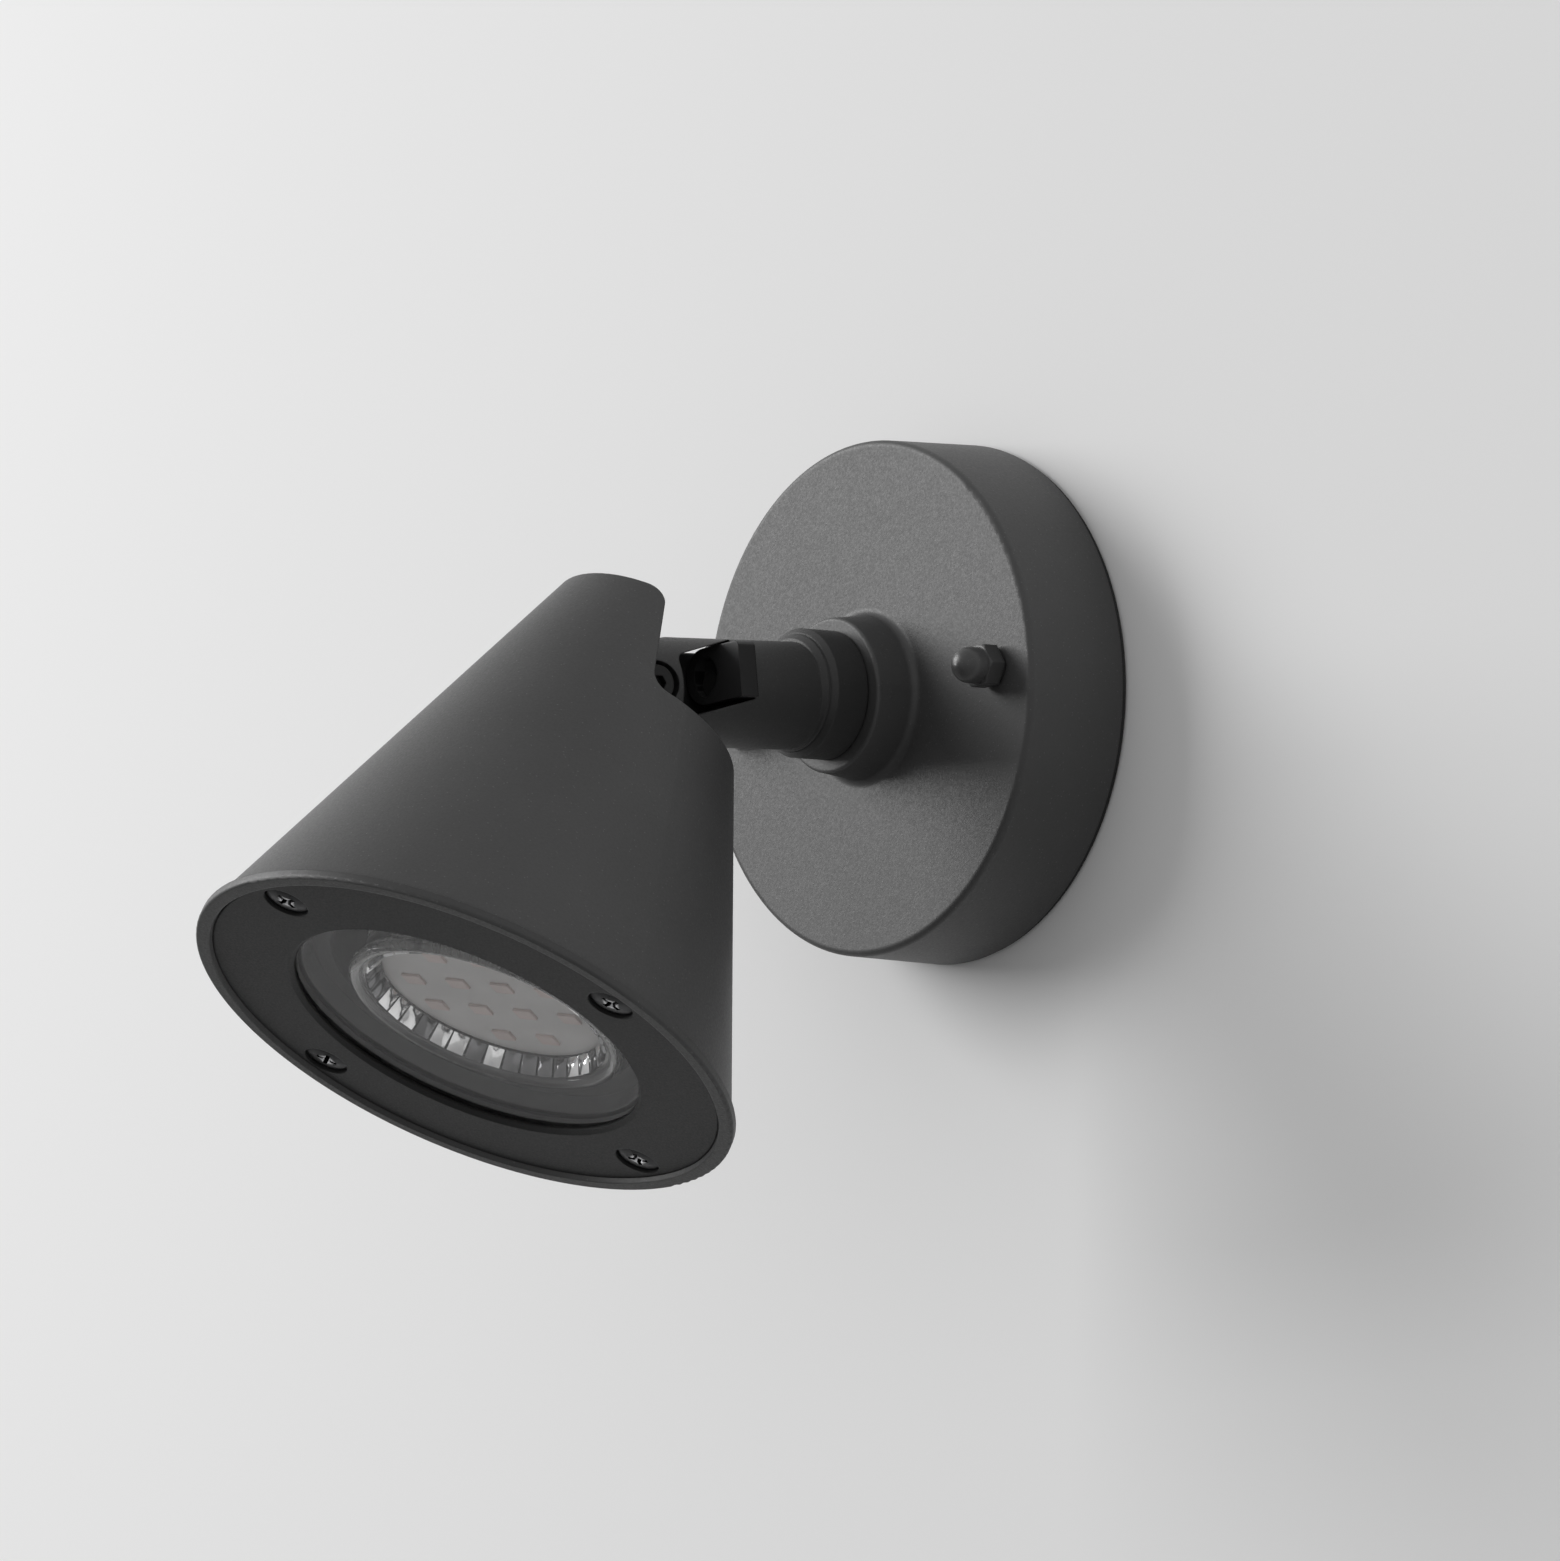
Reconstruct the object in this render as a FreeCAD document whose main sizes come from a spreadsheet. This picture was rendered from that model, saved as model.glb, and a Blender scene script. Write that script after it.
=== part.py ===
"""Pivoting spotlight wall light: canopy, swivelling stem and tilting conical head.

World frame in millimetres: the wall is the plane y = 0, -Y points into the room, +Z is up, and the
origin is the centre of the canopy's seat on the wall.
"""
import FreeCAD, Part
import math
import os
import re

V = FreeCAD.Vector
X_AXIS = V(1, 0, 0)

# name, value in mm (angles in degrees), what it sets
SIZES = [
    ("canopy_back_dia", 94.0, "canopy at the wall"),
    ("canopy_front_dia", 92.5, "canopy at its front edge, smaller by the casting's draft"),
    ("canopy_depth", 21.5, "wall to canopy face"),
    ("canopy_wall", 2.2, "side wall of the canopy"),
    ("canopy_face_thick", 2.5, "front wall of the canopy"),
    ("canopy_edge_round", 1.2, "front edge of the canopy"),
    ("gasket_thick", 1.0, "foam ring squeezed between canopy and wall"),
    ("gasket_width", 3.4, "radial width of the foam ring"),
    ("gasket_inset", 0.4, "foam ring set back from the canopy's edge"),
    ("boss_root_dia", 29.7, "raised boss where it leaves the face"),
    ("boss_front_dia", 27.7, "raised boss at its front"),
    ("boss_height", 8.0, "boss above the canopy face"),
    ("boss_root_round", 1.5, "fillet between boss and face"),
    ("boss_edge_round", 0.6, "front edge of the boss"),
    ("joint_gap", 0.3, "clearance between parts that move past each other"),
    ("running_gap", 0.05, "radial clearance of a shaft in its bearing"),
    ("seat_gap", 0.02, "radial clearance of pieces that are fixed together"),
    ("screw_hole_gap", 0.2, "radial clearance of a screw in its hole"),
    ("bush_outer_dia", 15.0, "nylon bush in the boss"),
    ("bush_flange_dia", 18.0, "flange of the bush under the face"),
    ("bush_flange_thick", 1.2, "thickness of that flange"),
    ("spigot_dia", 10.0, "hollow threaded spigot of the stem"),
    ("spigot_bore", 8.0, "lead way through the spigot"),
    ("spigot_end", 8.0, "wall to the spigot's inner end"),
    ("spigot_grip", 10.0, "length of spigot screwed into the collar"),
    ("stop_washer_dia", 17.0, "washer keyed to the spigot"),
    ("stop_washer_thick", 1.0, "thickness of the stop washer"),
    ("stop_tab_reach", 13.0, "radius of the stop washer's tab"),
    ("stop_tab_width", 3.0, "width of that tab"),
    ("stop_post_radius", 11.6, "stop post from the swivel axis"),
    ("stop_post_dia", 3.0, "stop post in the canopy"),
    ("spring_washer_dia", 16.0, "spring washer under the lock nut"),
    ("spring_washer_thick", 1.2, "thickness of the spring washer"),
    ("lock_nut_flats", 14.0, "lock nut across flats"),
    ("lock_nut_thick", 4.0, "lock nut thickness"),
    ("seal_section", 1.6, "cord of the face seal"),
    ("seal_radius", 9.6, "face seal's ring radius"),
    ("stud_spacing", 72.4, "canopy studs, centre to centre"),
    ("stud_dia", 4.0, "M4 studs"),
    ("stud_reach", 5.2, "stud thread beyond the nylon washer"),
    ("stud_collar_dia", 7.0, "clinch collar of a stud"),
    ("stud_collar_thick", 1.2, "thickness of the clinch collar"),
    ("cap_washer_dia", 6.8, "nylon washer hidden under a cap nut"),
    ("cap_washer_thick", 0.7, "its thickness"),
    ("cap_nut_flats", 7.0, "M4 cap nut across flats"),
    ("cap_nut_hex", 3.2, "height of its hexagon"),
    ("cap_nut_dome_dia", 6.4, "diameter of its dome"),
    ("cap_nut_height", 8.0, "height over the dome"),
    ("plate_dia", 82.0, "steel backplate"),
    ("plate_thick", 1.5, "thickness of the backplate"),
    ("slot_spacing", 50.0, "wall screw slots, centre to centre"),
    ("slot_width", 4.6, "wall screw slots"),
    ("slot_length", 12.0, "wall screw slots, end to end"),
    ("supply_hole_dia", 14.0, "supply hole in the backplate"),
    ("supply_grommet_lip", 19.0, "lip of the supply grommet"),
    ("supply_grommet_bore", 8.0, "bore of the supply grommet"),
    ("supply_lip_thick", 1.6, "lip above the backplate"),
    ("terminal_length", 27.0, "terminal block along X"),
    ("terminal_depth", 15.0, "terminal block along Z"),
    ("terminal_height", 11.0, "terminal block away from the wall"),
    ("terminal_drop", 27.0, "terminal block below the swivel axis"),
    ("terminal_pitch", 8.0, "pole to pole"),
    ("terminal_screw_dia", 3.4, "clamp screws"),
    ("fixing_screw_dia", 3.0, "terminal block's fixing screw"),
    ("earth_screw_dia", 4.0, "earth screw"),
    ("earth_side", 17.0, "earth screw from the swivel axis along X"),
    ("earth_rise", 24.0, "earth screw above the swivel axis"),
    ("earth_tag_dia", 8.0, "ring of the earth tag"),
    ("earth_tag_thick", 0.8, "earth tag sheet"),
    ("earth_tag_tail", 14.0, "screw centre to the end of the tag"),
    ("lead_dia", 1.8, "single insulated leads"),
    ("collar_dia", 23.1, "collar of the stem"),
    ("collar_length", 9.0, "collar length with its bevel"),
    ("collar_bevel", 0.9, "outer bevel of the collar"),
    ("collar_step", 0.5, "groove between the two bevels"),
    ("stem_dia", 19.2, "round stem"),
    ("stem_lean", 2.0, "stem hangs this far below the swivel axis"),
    ("stem_reach", 53.0, "canopy face to tilt axis along the stem"),
    ("stem_bore", 9.0, "lead way through the stem"),
    ("knuckle_radius", 6.5, "end of the fork round the tilt axis"),
    ("fork_top_slope", 29.0, "slope of the fork's upper flank"),
    ("fork_low_slope", 12.5, "slope of the fork's lower flank"),
    ("fork_slot", 9.0, "slot between the fork's cheeks"),
    ("fork_slot_depth", 8.0, "slot behind the tilt axis"),
    ("window_start", 32.2, "canopy face to the side window"),
    ("window_length", 15.8, "side window along the stem"),
    ("window_top", 9.1, "upper corner of the window above the stem's axis"),
    ("window_height", 11.1, "side window across the stem"),
    ("window_tilt", 14.0, "slope of the side window"),
    ("window_round", 2.0, "corners of the side window"),
    ("window_far_side", 5.3, "depth of the window past the stem's axis"),
    ("boot_thick", 3.7, "moulded block along the stem"),
    ("boot_height", 10.0, "moulded block across the stem"),
    ("boot_rise", 2.9, "block's nose centre above the stem axis"),
    ("boot_side", 10.3, "block's outer side from the stem axis"),
    ("boot_mouth", 6.4, "round mouth of the block"),
    ("boot_mouth_depth", 2.2, "depth of that mouth"),
    ("boot_plug_length", 5.0, "plug of the block in the stem's bore"),
    ("boot_lead_rise", 1.6, "lead through the block, above the stem axis"),
    ("stem_lead_dia", 4.6, "sheathed lead in the stem"),
    ("pivot_dia", 4.0, "tilt bolt"),
    ("pivot_head_dia", 7.6, "head of the tilt bolt"),
    ("pivot_head_thick", 2.2, "head and nut of the tilt bolt"),
    ("pivot_seat", 7.0, "counterbore floor from the middle plane"),
    ("pivot_nut_flats", 7.0, "nut of the tilt bolt"),
    ("friction_washer_dia", 12.0, "washers between fork and tongue"),
    ("friction_washer_thick", 0.5, "their thickness"),
    ("head_tilt", 59.5, "head below the horizontal at rest"),
    ("shade_cone_dia", 97.8, "shade's cone produced to its front plane"),
    ("shade_end_dia", 33.4, "shade's cone at the end of the hood"),
    ("shade_length", 85.0, "front plane to the end of the hood"),
    ("shade_ring_length", 64.0, "front plane to the step cut"),
    ("shade_wall", 2.3, "wall of the shade"),
    ("shade_lip_length", 1.6, "straight lip at the front"),
    ("shade_lip_proud", 0.2, "lip proud of the cone"),
    ("shade_lip_round", 0.5, "outer edge of the lip"),
    ("hood_edge", 7.5, "hood's cut from the head's axis"),
    ("hood_corner", 3.0, "corners of the step cut"),
    ("pivot_behind", 73.0, "front plane to the tilt axis"),
    ("pivot_offset", 1.8, "tilt axis from the head's axis, to the wall side"),
    ("bezel_inset", 0.8, "front ring set back from the lip"),
    ("bezel_thick", 4.2, "front ring"),
    ("opening_lip", 1.2, "front ring in front of the glass"),
    ("bezel_gap", 0.15, "gap between front ring and shade"),
    ("bezel_band", 14.95, "front ring from its outer edge to its opening"),
    ("opening_bevel", 0.7, "bevel of that opening"),
    ("screw_inset", 5.3, "front screws from the shade's inner wall"),
    ("screw_dia", 4.0, "front screws"),
    ("screw_head_dia", 7.0, "their heads"),
    ("screw_head_thick", 2.2, "head height"),
    ("screw_length", 6.0, "length under the head"),
    ("counterbore_dia", 8.0, "recesses for the heads"),
    ("counterbore_depth", 2.6, "depth of the recesses"),
    ("drive_width", 0.8, "slots of the cross recess"),
    ("drive_span", 3.6, "span of the cross recess"),
    ("drive_depth", 1.2, "depth of the cross recess"),
    ("post_dia", 7.6, "screw posts in the shade"),
    ("post_length", 9.0, "their length"),
    ("glass_overlap", 3.5, "front glass behind the edge of the opening"),
    ("glass_thick", 3.0, "its thickness"),
    ("glass_gap", 0.3, "radial play of the glass"),
    ("glass_gasket_thick", 1.0, "flat ring behind the glass"),
    ("glass_gasket_width", 3.0, "its radial width"),
    ("flange_inset", 4.1, "flange of the lamp can from the shade's inner wall, open round the screws"),
    ("can_flange_thick", 2.0, "flange of the lamp can"),
    ("can_wall", 1.8, "walls of the lamp can"),
    ("can_step", 0.5, "front bore of the can inside the opening"),
    ("can_wide_end", 10.0, "front plane to the first step"),
    ("lamp_room", 2.75, "middle bore of the can round the lamp"),
    ("can_mid_end", 30.0, "front plane to the second step"),
    ("can_back_dia", 40.0, "rear bore of the can"),
    ("can_back_end", 51.6, "front plane to the rear floor"),
    ("holder_box_width", 29.0, "holder housing along X, inside"),
    ("holder_box_depth", 17.0, "holder housing across, inside"),
    ("can_end", 62.6, "front plane to the back of the can"),
    ("tongue_thick", 7.4, "tongue of the tilt joint"),
    ("tongue_radius", 6.2, "end of the tongue"),
    ("can_grommet_dia", 7.7, "lips of the grommet in the can's rear floor"),
    ("can_grommet_bore", 3.8, "its bore"),
    ("can_grommet_side", 6.0, "its place along X"),
    ("can_grommet_rise", 14.3, "its place to the wall side"),
    ("lamp_front", 6.9, "front plane to the lamp's face"),
    ("lamp_sag", 3.2, "lamp leans in its holder, to the wall side"),
    ("lamp_base_gap", 0.8, "play between the lamp's base and its holder"),
    ("lamp_dia", 49.5, "lamp over its rolled rim"),
    ("lamp_length", 41.8, "lamp face to its base"),
    ("lamp_rim_thick", 2.6, "rolled rim"),
    ("lamp_neck_dia", 22.0, "base of the lamp"),
    ("lamp_neck_length", 12.0, "straight base of the lamp"),
    ("lamp_shoulder_dia", 31.0, "where the taper meets the base"),
    ("lamp_rim_band", 2.55, "lamp's rolled rim across its band"),
    ("lamp_bowl_depth", 8.0, "depth of that inside"),
    ("board_inset", 2.2, "LED board inside the rim"),
    ("board_thick", 1.0, "LED board"),
    ("board_behind", 4.5, "board behind the lamp's face"),
    ("chip_long", 3.6, "LED chips"),
    ("chip_short", 2.8, "LED chips"),
    ("chip_thick", 0.5, "LED chips"),
    ("chip_pitch", 9.0, "chip to chip and row to row"),
    ("lamp_turn", 24.0, "rows of chips turned about the head's axis"),
    ("pin_spacing", 10.0, "lamp pins, centre to centre"),
    ("pin_dia", 3.2, "lamp pins"),
    ("pin_head_dia", 5.0, "heads of the lamp pins"),
    ("pin_length", 7.0, "lamp pins"),
    ("pin_head_thick", 2.2, "heads of the lamp pins"),
    ("housing_round", 3.0, "back edges of the holder housing"),
    ("holder_width", 27.6, "lampholder along X"),
    ("holder_depth", 15.6, "lampholder across"),
    ("holder_height", 11.8, "lampholder's height"),
    ("holder_screw_spacing", 20.0, "lampholder screws"),
    ("holder_screw_dia", 3.0, "lampholder screws"),
    ("contact_thick", 0.8, "brass contacts in the holder"),
    ("lead_tail", 2.5, "leads behind the can's rear floor"),
    ("lead_turn", 5.0, "leads' turn in front of that floor"),
    ("lead_edge", 0.7, "leads from the holder's ends"),
    ("lead_inset", 1.6, "leads from the holder's sides"),
    ("lead_bend", 0.9, "bends of the single leads"),
]
SIZE = {name: value for name, value, note in SIZES}

doc = FreeCAD.newDocument("spotlight")
sheet = doc.addObject("Spreadsheet::Sheet", "dims")
for row, (name, value, note) in enumerate(SIZES, start=1):
    sheet.set("A%d" % row, name)
    sheet.set("B%d" % row, repr(value))
    sheet.set("C%d" % row, note)
    sheet.setAlias("B%d" % row, name)
doc.recompute()

NODES = []


def bind(shape, **sizes):
    """Tie properties to expressions in which every size stands under its own name."""
    for prop, text in sizes.items():
        tied = re.sub(r"[a-z]\w+", lambda word: "dims." + word[0] if word[0] in SIZE else word[0], text)
        shape.setExpression(prop.replace("__", "."), tied)
    return shape


def at(shape, x="0", y="0", z="0"):
    """Place a primitive's base by expressions."""
    return bind(shape, Placement__Base__x=x, Placement__Base__y=y, Placement__Base__z=z)


def turn(shape, axis, angle):
    """Turn a primitive about its own base point."""
    shape.Placement = FreeCAD.Placement(shape.Placement.Base, FreeCAD.Rotation(axis, angle))
    return shape


def cylinder(radius, height, x="0", y="0", z="0"):
    """Upright cylinder standing on z."""
    return at(bind(doc.addObject("Part::Cylinder", "Cylinder"), Radius=radius, Height=height), x, y, z)


def cross_cylinder(radius, half_length, y="0", z="0"):
    """Cylinder along X, centred on the middle plane."""
    tube = turn(doc.addObject("Part::Cylinder", "Cylinder"), V(0, 1, 0), 90)
    bind(tube, Radius=radius, Height="2*(%s)" % half_length)
    return at(tube, "-(%s)" % half_length, y, z)


def cone(radius1, radius2, height, x="0", y="0", z="0"):
    """Upright frustum standing on z."""
    return at(bind(doc.addObject("Part::Cone", "Cone"), Radius1=radius1, Radius2=radius2, Height=height), x, y, z)


def block(length, width, height, x="0", y="0", z="0"):
    """Box centred on x and y, standing on z."""
    box = bind(doc.addObject("Part::Box", "Box"), Length=length, Width=width, Height=height)
    return at(box, "%s-(%s)/2" % (x, length), "%s-(%s)/2" % (y, width), z)


def prism(flats, height, x="0", y="0", z="0"):
    """Hexagon by its width across flats, with a corner on the X axis."""
    hexagon = doc.addObject("Part::Prism", "Prism")
    hexagon.Polygon = 6
    return at(bind(hexagon, Circumradius="(%s)/2/cos(30)" % flats, Height=height), x, y, z)


def sphere(radius, x="0", y="0", z="0"):
    """Ball round a point."""
    return at(bind(doc.addObject("Part::Sphere", "Sphere"), Radius=radius), x, y, z)


def torus(ring_radius, section_radius, z="0"):
    """Ring round the Z axis."""
    ring = doc.addObject("Part::Torus", "Torus")
    return at(bind(ring, Radius1=ring_radius, Radius2=section_radius), "0", "0", z)


def fuse(*shapes):
    """Union of overlapping or touching solids."""
    union = doc.addObject("Part::MultiFuse", "Fuse")
    union.Shapes = list(shapes)
    union.Refine = True
    return union


def common(first, second):
    """What two solids share."""
    shared = doc.addObject("Part::MultiCommon", "Common")
    shared.Shapes = [first, second]
    return shared


def cut(base, *tools):
    """Base without the tools."""
    result = doc.addObject("Part::Cut", "Cut")
    result.Base = base
    result.Tool = tools[0] if len(tools) == 1 else fuse(*tools)
    return result


def group(*shapes):
    """Separate solids kept as one node."""
    kept = doc.addObject("Part::Compound", "Group")
    kept.Links = list(shapes)
    return kept


def ring(outer, inner, height, z="0"):
    """Flat ring by radii."""
    return cut(cylinder(outer, height, z=z), cylinder(inner, "%s+2" % height, z="%s-1" % z))


def round_edges(shape, radius, wanted):
    """Fillet the edges that the test accepts."""
    doc.recompute()
    numbers = [n for n, edge in enumerate(shape.Shape.Edges, start=1) if wanted(edge)]
    filleted = doc.addObject("Part::Fillet", "Fillet")
    filleted.Base = shape
    filleted.Edges = [(n, radius, radius) for n in numbers]
    return filleted


def is_circle(radius, z):
    """Test for a full circle round the Z axis."""
    def wanted(edge):
        curve = edge.Curve
        return (isinstance(curve, Part.Circle) and abs(curve.Radius - radius) < 0.01
                and abs(curve.Center.z - z) < 0.01 and abs(curve.Center.x) < 0.01)
    return wanted


def along_x(edge):
    """Test for a straight edge parallel to X."""
    return isinstance(edge.Curve, (Part.Line, Part.LineSegment)) and abs(abs(edge.tangentAt(0).x) - 1) < 1e-6


def node(name, shape, frame):
    """Name a finished sub-part and stand it in its frame; a bare primitive is carried by a group."""
    if any("Placement" in bound[0] for bound in shape.ExpressionEngine):
        shape = group(shape)
    shape.Placement = frame.multiply(shape.Placement)
    shape.Label = name
    NODES.append(shape)


# Frames. Each has z along the axis of its group and x along world X.
def about_x(angle, origin):
    return FreeCAD.Placement(origin, FreeCAD.Rotation(X_AXIS, angle))


LEAN = math.radians(SIZE["stem_lean"])
FACE = V(0, -SIZE["canopy_depth"], 0)
PIVOT = FACE + V(0, -math.cos(LEAN), -math.sin(LEAN)) * SIZE["stem_reach"]
CANOPY = about_x(90, V(0, 0, 0))            # z out of the wall, y up
STEM = about_x(90 + SIZE["stem_lean"], FACE)    # z along the leaning stem, y up
HEAD_TURN = about_x(SIZE["head_tilt"] - 90, V(0, 0, 0))
HEAD = about_x(SIZE["head_tilt"] - 90,
               PIVOT - HEAD_TURN.multVec(V(0, SIZE["pivot_offset"], SIZE["pivot_behind"])))
# In HEAD z runs from the front plane to the back and y to the wall side.

FLOOR = "canopy_depth-canopy_face_thick"    # inner side of the canopy's face
BOSS_TOP = "canopy_depth+boss_height"
COLLAR_SEAT = "canopy_depth+boss_height+joint_gap"
SIDES = (-1, 1)


def canopy():
    """Drafted cast cup with a hollow boss, a stop post and two stud holes."""
    cup = cone("canopy_back_dia/2", "canopy_front_dia/2", "canopy_depth-gasket_thick", z="gasket_thick")
    cup = round_edges(cup, SIZE["canopy_edge_round"], is_circle(SIZE["canopy_front_dia"] / 2, SIZE["canopy_depth"]))
    boss = cone("boss_root_dia/2", "boss_front_dia/2", "boss_height", z="canopy_depth")
    outside = fuse(cup, boss)
    outside = round_edges(outside, SIZE["boss_root_round"],
                          is_circle(SIZE["boss_root_dia"] / 2, SIZE["canopy_depth"]))
    outside = round_edges(outside, SIZE["boss_edge_round"],
                          is_circle(SIZE["boss_front_dia"] / 2, SIZE["canopy_depth"] + SIZE["boss_height"]))
    cavity = cone("canopy_back_dia/2-canopy_wall", "canopy_front_dia/2-canopy_wall", FLOOR)
    bore = cylinder("bush_outer_dia/2", "canopy_face_thick+boss_height+2", z=FLOOR + "-1")
    holes = [cylinder("stud_dia/2+screw_hole_gap", "canopy_face_thick+2", x="%d*stud_spacing/2" % side,
                      z=FLOOR + "-1") for side in SIDES]
    shell = cut(outside, cavity, bore, *holes)
    post = cylinder("stop_post_dia/2", "stop_washer_thick+bush_flange_thick+joint_gap+1.5", y="-stop_post_radius",
                    z=FLOOR + "-stop_washer_thick-bush_flange_thick-joint_gap-1")
    node("canopy", fuse(shell, post), CANOPY)


def wall_gasket():
    """Foam ring between canopy and wall."""
    outer = "canopy_back_dia/2-gasket_inset"
    node("wall_gasket", ring(outer, outer + "-gasket_width", "gasket_thick"), CANOPY)


def backplate():
    """Steel disc with a supply hole, slots for wall screws and holes for studs and fixings."""
    disc = cylinder("plate_dia/2", "plate_thick")
    tools = [cylinder("supply_hole_dia/2", "plate_thick+2", z="-1")]
    for side in SIDES:
        tools.append(cylinder("stud_dia/2+seat_gap", "plate_thick+2", x="%d*stud_spacing/2" % side, z="-1"))
        centre = "%d*slot_spacing/2" % side
        tools.append(block("slot_length-slot_width", "slot_width", "plate_thick+2", x=centre, z="-1"))
        for end in SIDES:
            tools.append(cylinder("slot_width/2", "plate_thick+2", z="-1",
                                  x="%s+%d*(slot_length-slot_width)/2" % (centre, end)))
    tools.append(cylinder("fixing_screw_dia/2+seat_gap", "plate_thick+2", y="-terminal_drop", z="-1"))
    tools.append(cylinder("earth_screw_dia/2+seat_gap", "plate_thick+2", x="earth_side", y="earth_rise", z="-1"))
    node("backplate", cut(disc, *tools), CANOPY)


def canopy_studs():
    """Two clinched studs with a collar on the plate."""
    studs = []
    for side in SIDES:
        place = "%d*stud_spacing/2" % side
        shank = cylinder("stud_dia/2", "canopy_depth+cap_washer_thick+stud_reach", x=place)
        collar = cylinder("stud_collar_dia/2", "stud_collar_thick", x=place, z="plate_thick")
        studs.append(fuse(shank, collar))
    node("canopy_studs", group(*studs), CANOPY)


def cap_nut_washers():
    """Nylon washers on the canopy's face."""
    washers = []
    for side in SIDES:
        place = "%d*stud_spacing/2" % side
        disc = cylinder("cap_washer_dia/2", "cap_washer_thick", x=place, z="canopy_depth")
        hole = cylinder("stud_dia/2+seat_gap", "cap_washer_thick+2", x=place, z="canopy_depth-1")
        washers.append(cut(disc, hole))
    node("cap_nut_washers", group(*washers), CANOPY)


def cap_nuts():
    """Domed cap nuts: chamfered hexagon, ball-ended dome and a blind thread."""
    seat = "canopy_depth+cap_washer_thick"
    nuts = []
    for side in SIDES:
        place = "%d*stud_spacing/2" % side
        hexagon = common(prism("cap_nut_flats", "cap_nut_hex", x=place, z=seat),
                         cone("cap_nut_flats/2+cap_nut_hex*1.732", "cap_nut_flats/2", "cap_nut_hex", x=place, z=seat))
        dome_top = "%s+cap_nut_height-cap_nut_dome_dia/2" % seat
        barrel = cylinder("cap_nut_dome_dia/2", "cap_nut_height-cap_nut_dome_dia/2", x=place, z=seat)
        dome = sphere("cap_nut_dome_dia/2", x=place, z=dome_top)
        thread = cylinder("stud_dia/2+seat_gap", "stud_reach+0.3", x=place, z=seat)
        nuts.append(cut(fuse(hexagon, barrel, dome), thread))
    node("cap_nuts", group(*nuts), CANOPY)


def supply_grommet():
    """Rubber grommet in the backplate."""
    body = fuse(cylinder("supply_hole_dia/2-seat_gap", "plate_thick"),
                cylinder("supply_grommet_lip/2", "supply_lip_thick", z="plate_thick"))
    hole = cylinder("supply_grommet_bore/2", "plate_thick+supply_lip_thick+2", z="-1")
    node("supply_grommet", cut(body, hole), CANOPY)


def terminal_block():
    """Three-pole block with wire ways, screw wells and a middle fixing hole."""
    body = block("terminal_length", "terminal_depth", "terminal_height", y="-terminal_drop", z="plate_thick")
    tools = []
    for pole in (-1, 0, 1):
        way = turn(doc.addObject("Part::Cylinder", "WireWay"), X_AXIS, 90)
        bind(way, Radius="lead_dia/2+0.4", Height="terminal_depth+2")
        tools.append(at(way, "%d*terminal_pitch" % pole, "-terminal_drop+terminal_depth/2+1",
                        "plate_thick+terminal_height/3"))
        for side in SIDES:
            tools.append(cylinder("terminal_screw_dia/2+seat_gap", "terminal_height", x="%d*terminal_pitch" % pole,
                                  y="-terminal_drop+%d*terminal_depth*0.3" % side,
                                  z="plate_thick+terminal_height/3+lead_dia/2+0.4"))
    tools.append(cylinder("fixing_screw_dia/2+screw_hole_gap", "terminal_height+2", y="-terminal_drop",
                          z="plate_thick-1"))
    tools.append(cylinder("fixing_screw_dia", "3", y="-terminal_drop", z="plate_thick+terminal_height-2.5"))
    node("terminal_block", cut(body, *tools), CANOPY)


def terminal_screws():
    """Six brass clamp screws with slots."""
    screws = []
    for pole in (-1, 0, 1):
        for side in SIDES:
            place_y = "-terminal_drop+%d*terminal_depth*0.3" % side
            base = "plate_thick+terminal_height/3+lead_dia/2+0.4"
            length = "terminal_height*2/3-lead_dia/2-0.4-1.2"
            shank = cylinder("terminal_screw_dia/2", length, x="%d*terminal_pitch" % pole, y=place_y, z=base)
            slot = block("terminal_screw_dia+1", "0.6", "1", x="%d*terminal_pitch" % pole, y=place_y,
                         z="%s+%s-0.7" % (base, length))
            screws.append(cut(shank, slot))
    node("terminal_screws", group(*screws), CANOPY)


def terminal_fixing_screw():
    """Screw that holds the block to the backplate."""
    shank = cylinder("fixing_screw_dia/2", "plate_thick+terminal_height-2.5", y="-terminal_drop", z="0")
    head = cylinder("fixing_screw_dia-0.3", "1.6", y="-terminal_drop", z="plate_thick+terminal_height-2.5")
    slot = block("fixing_screw_dia*2+1", "0.7", "1", y="-terminal_drop", z="plate_thick+terminal_height-1.5")
    node("terminal_fixing_screw", cut(fuse(shank, head), slot), CANOPY)


def earth_tag():
    """Ring tag with a crimped tail, under the earth screw."""
    eye = cylinder("earth_tag_dia/2", "earth_tag_thick", x="earth_side", y="earth_rise", z="plate_thick")
    tail = block("earth_tag_tail", "earth_tag_dia/2", "earth_tag_thick", x="earth_side-earth_tag_tail/2",
                 y="earth_rise", z="plate_thick")
    hole = cylinder("earth_screw_dia/2+seat_gap", "earth_tag_thick+2", x="earth_side", y="earth_rise",
                    z="plate_thick-1")
    node("earth_tag", cut(fuse(eye, tail), hole), CANOPY)


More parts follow.
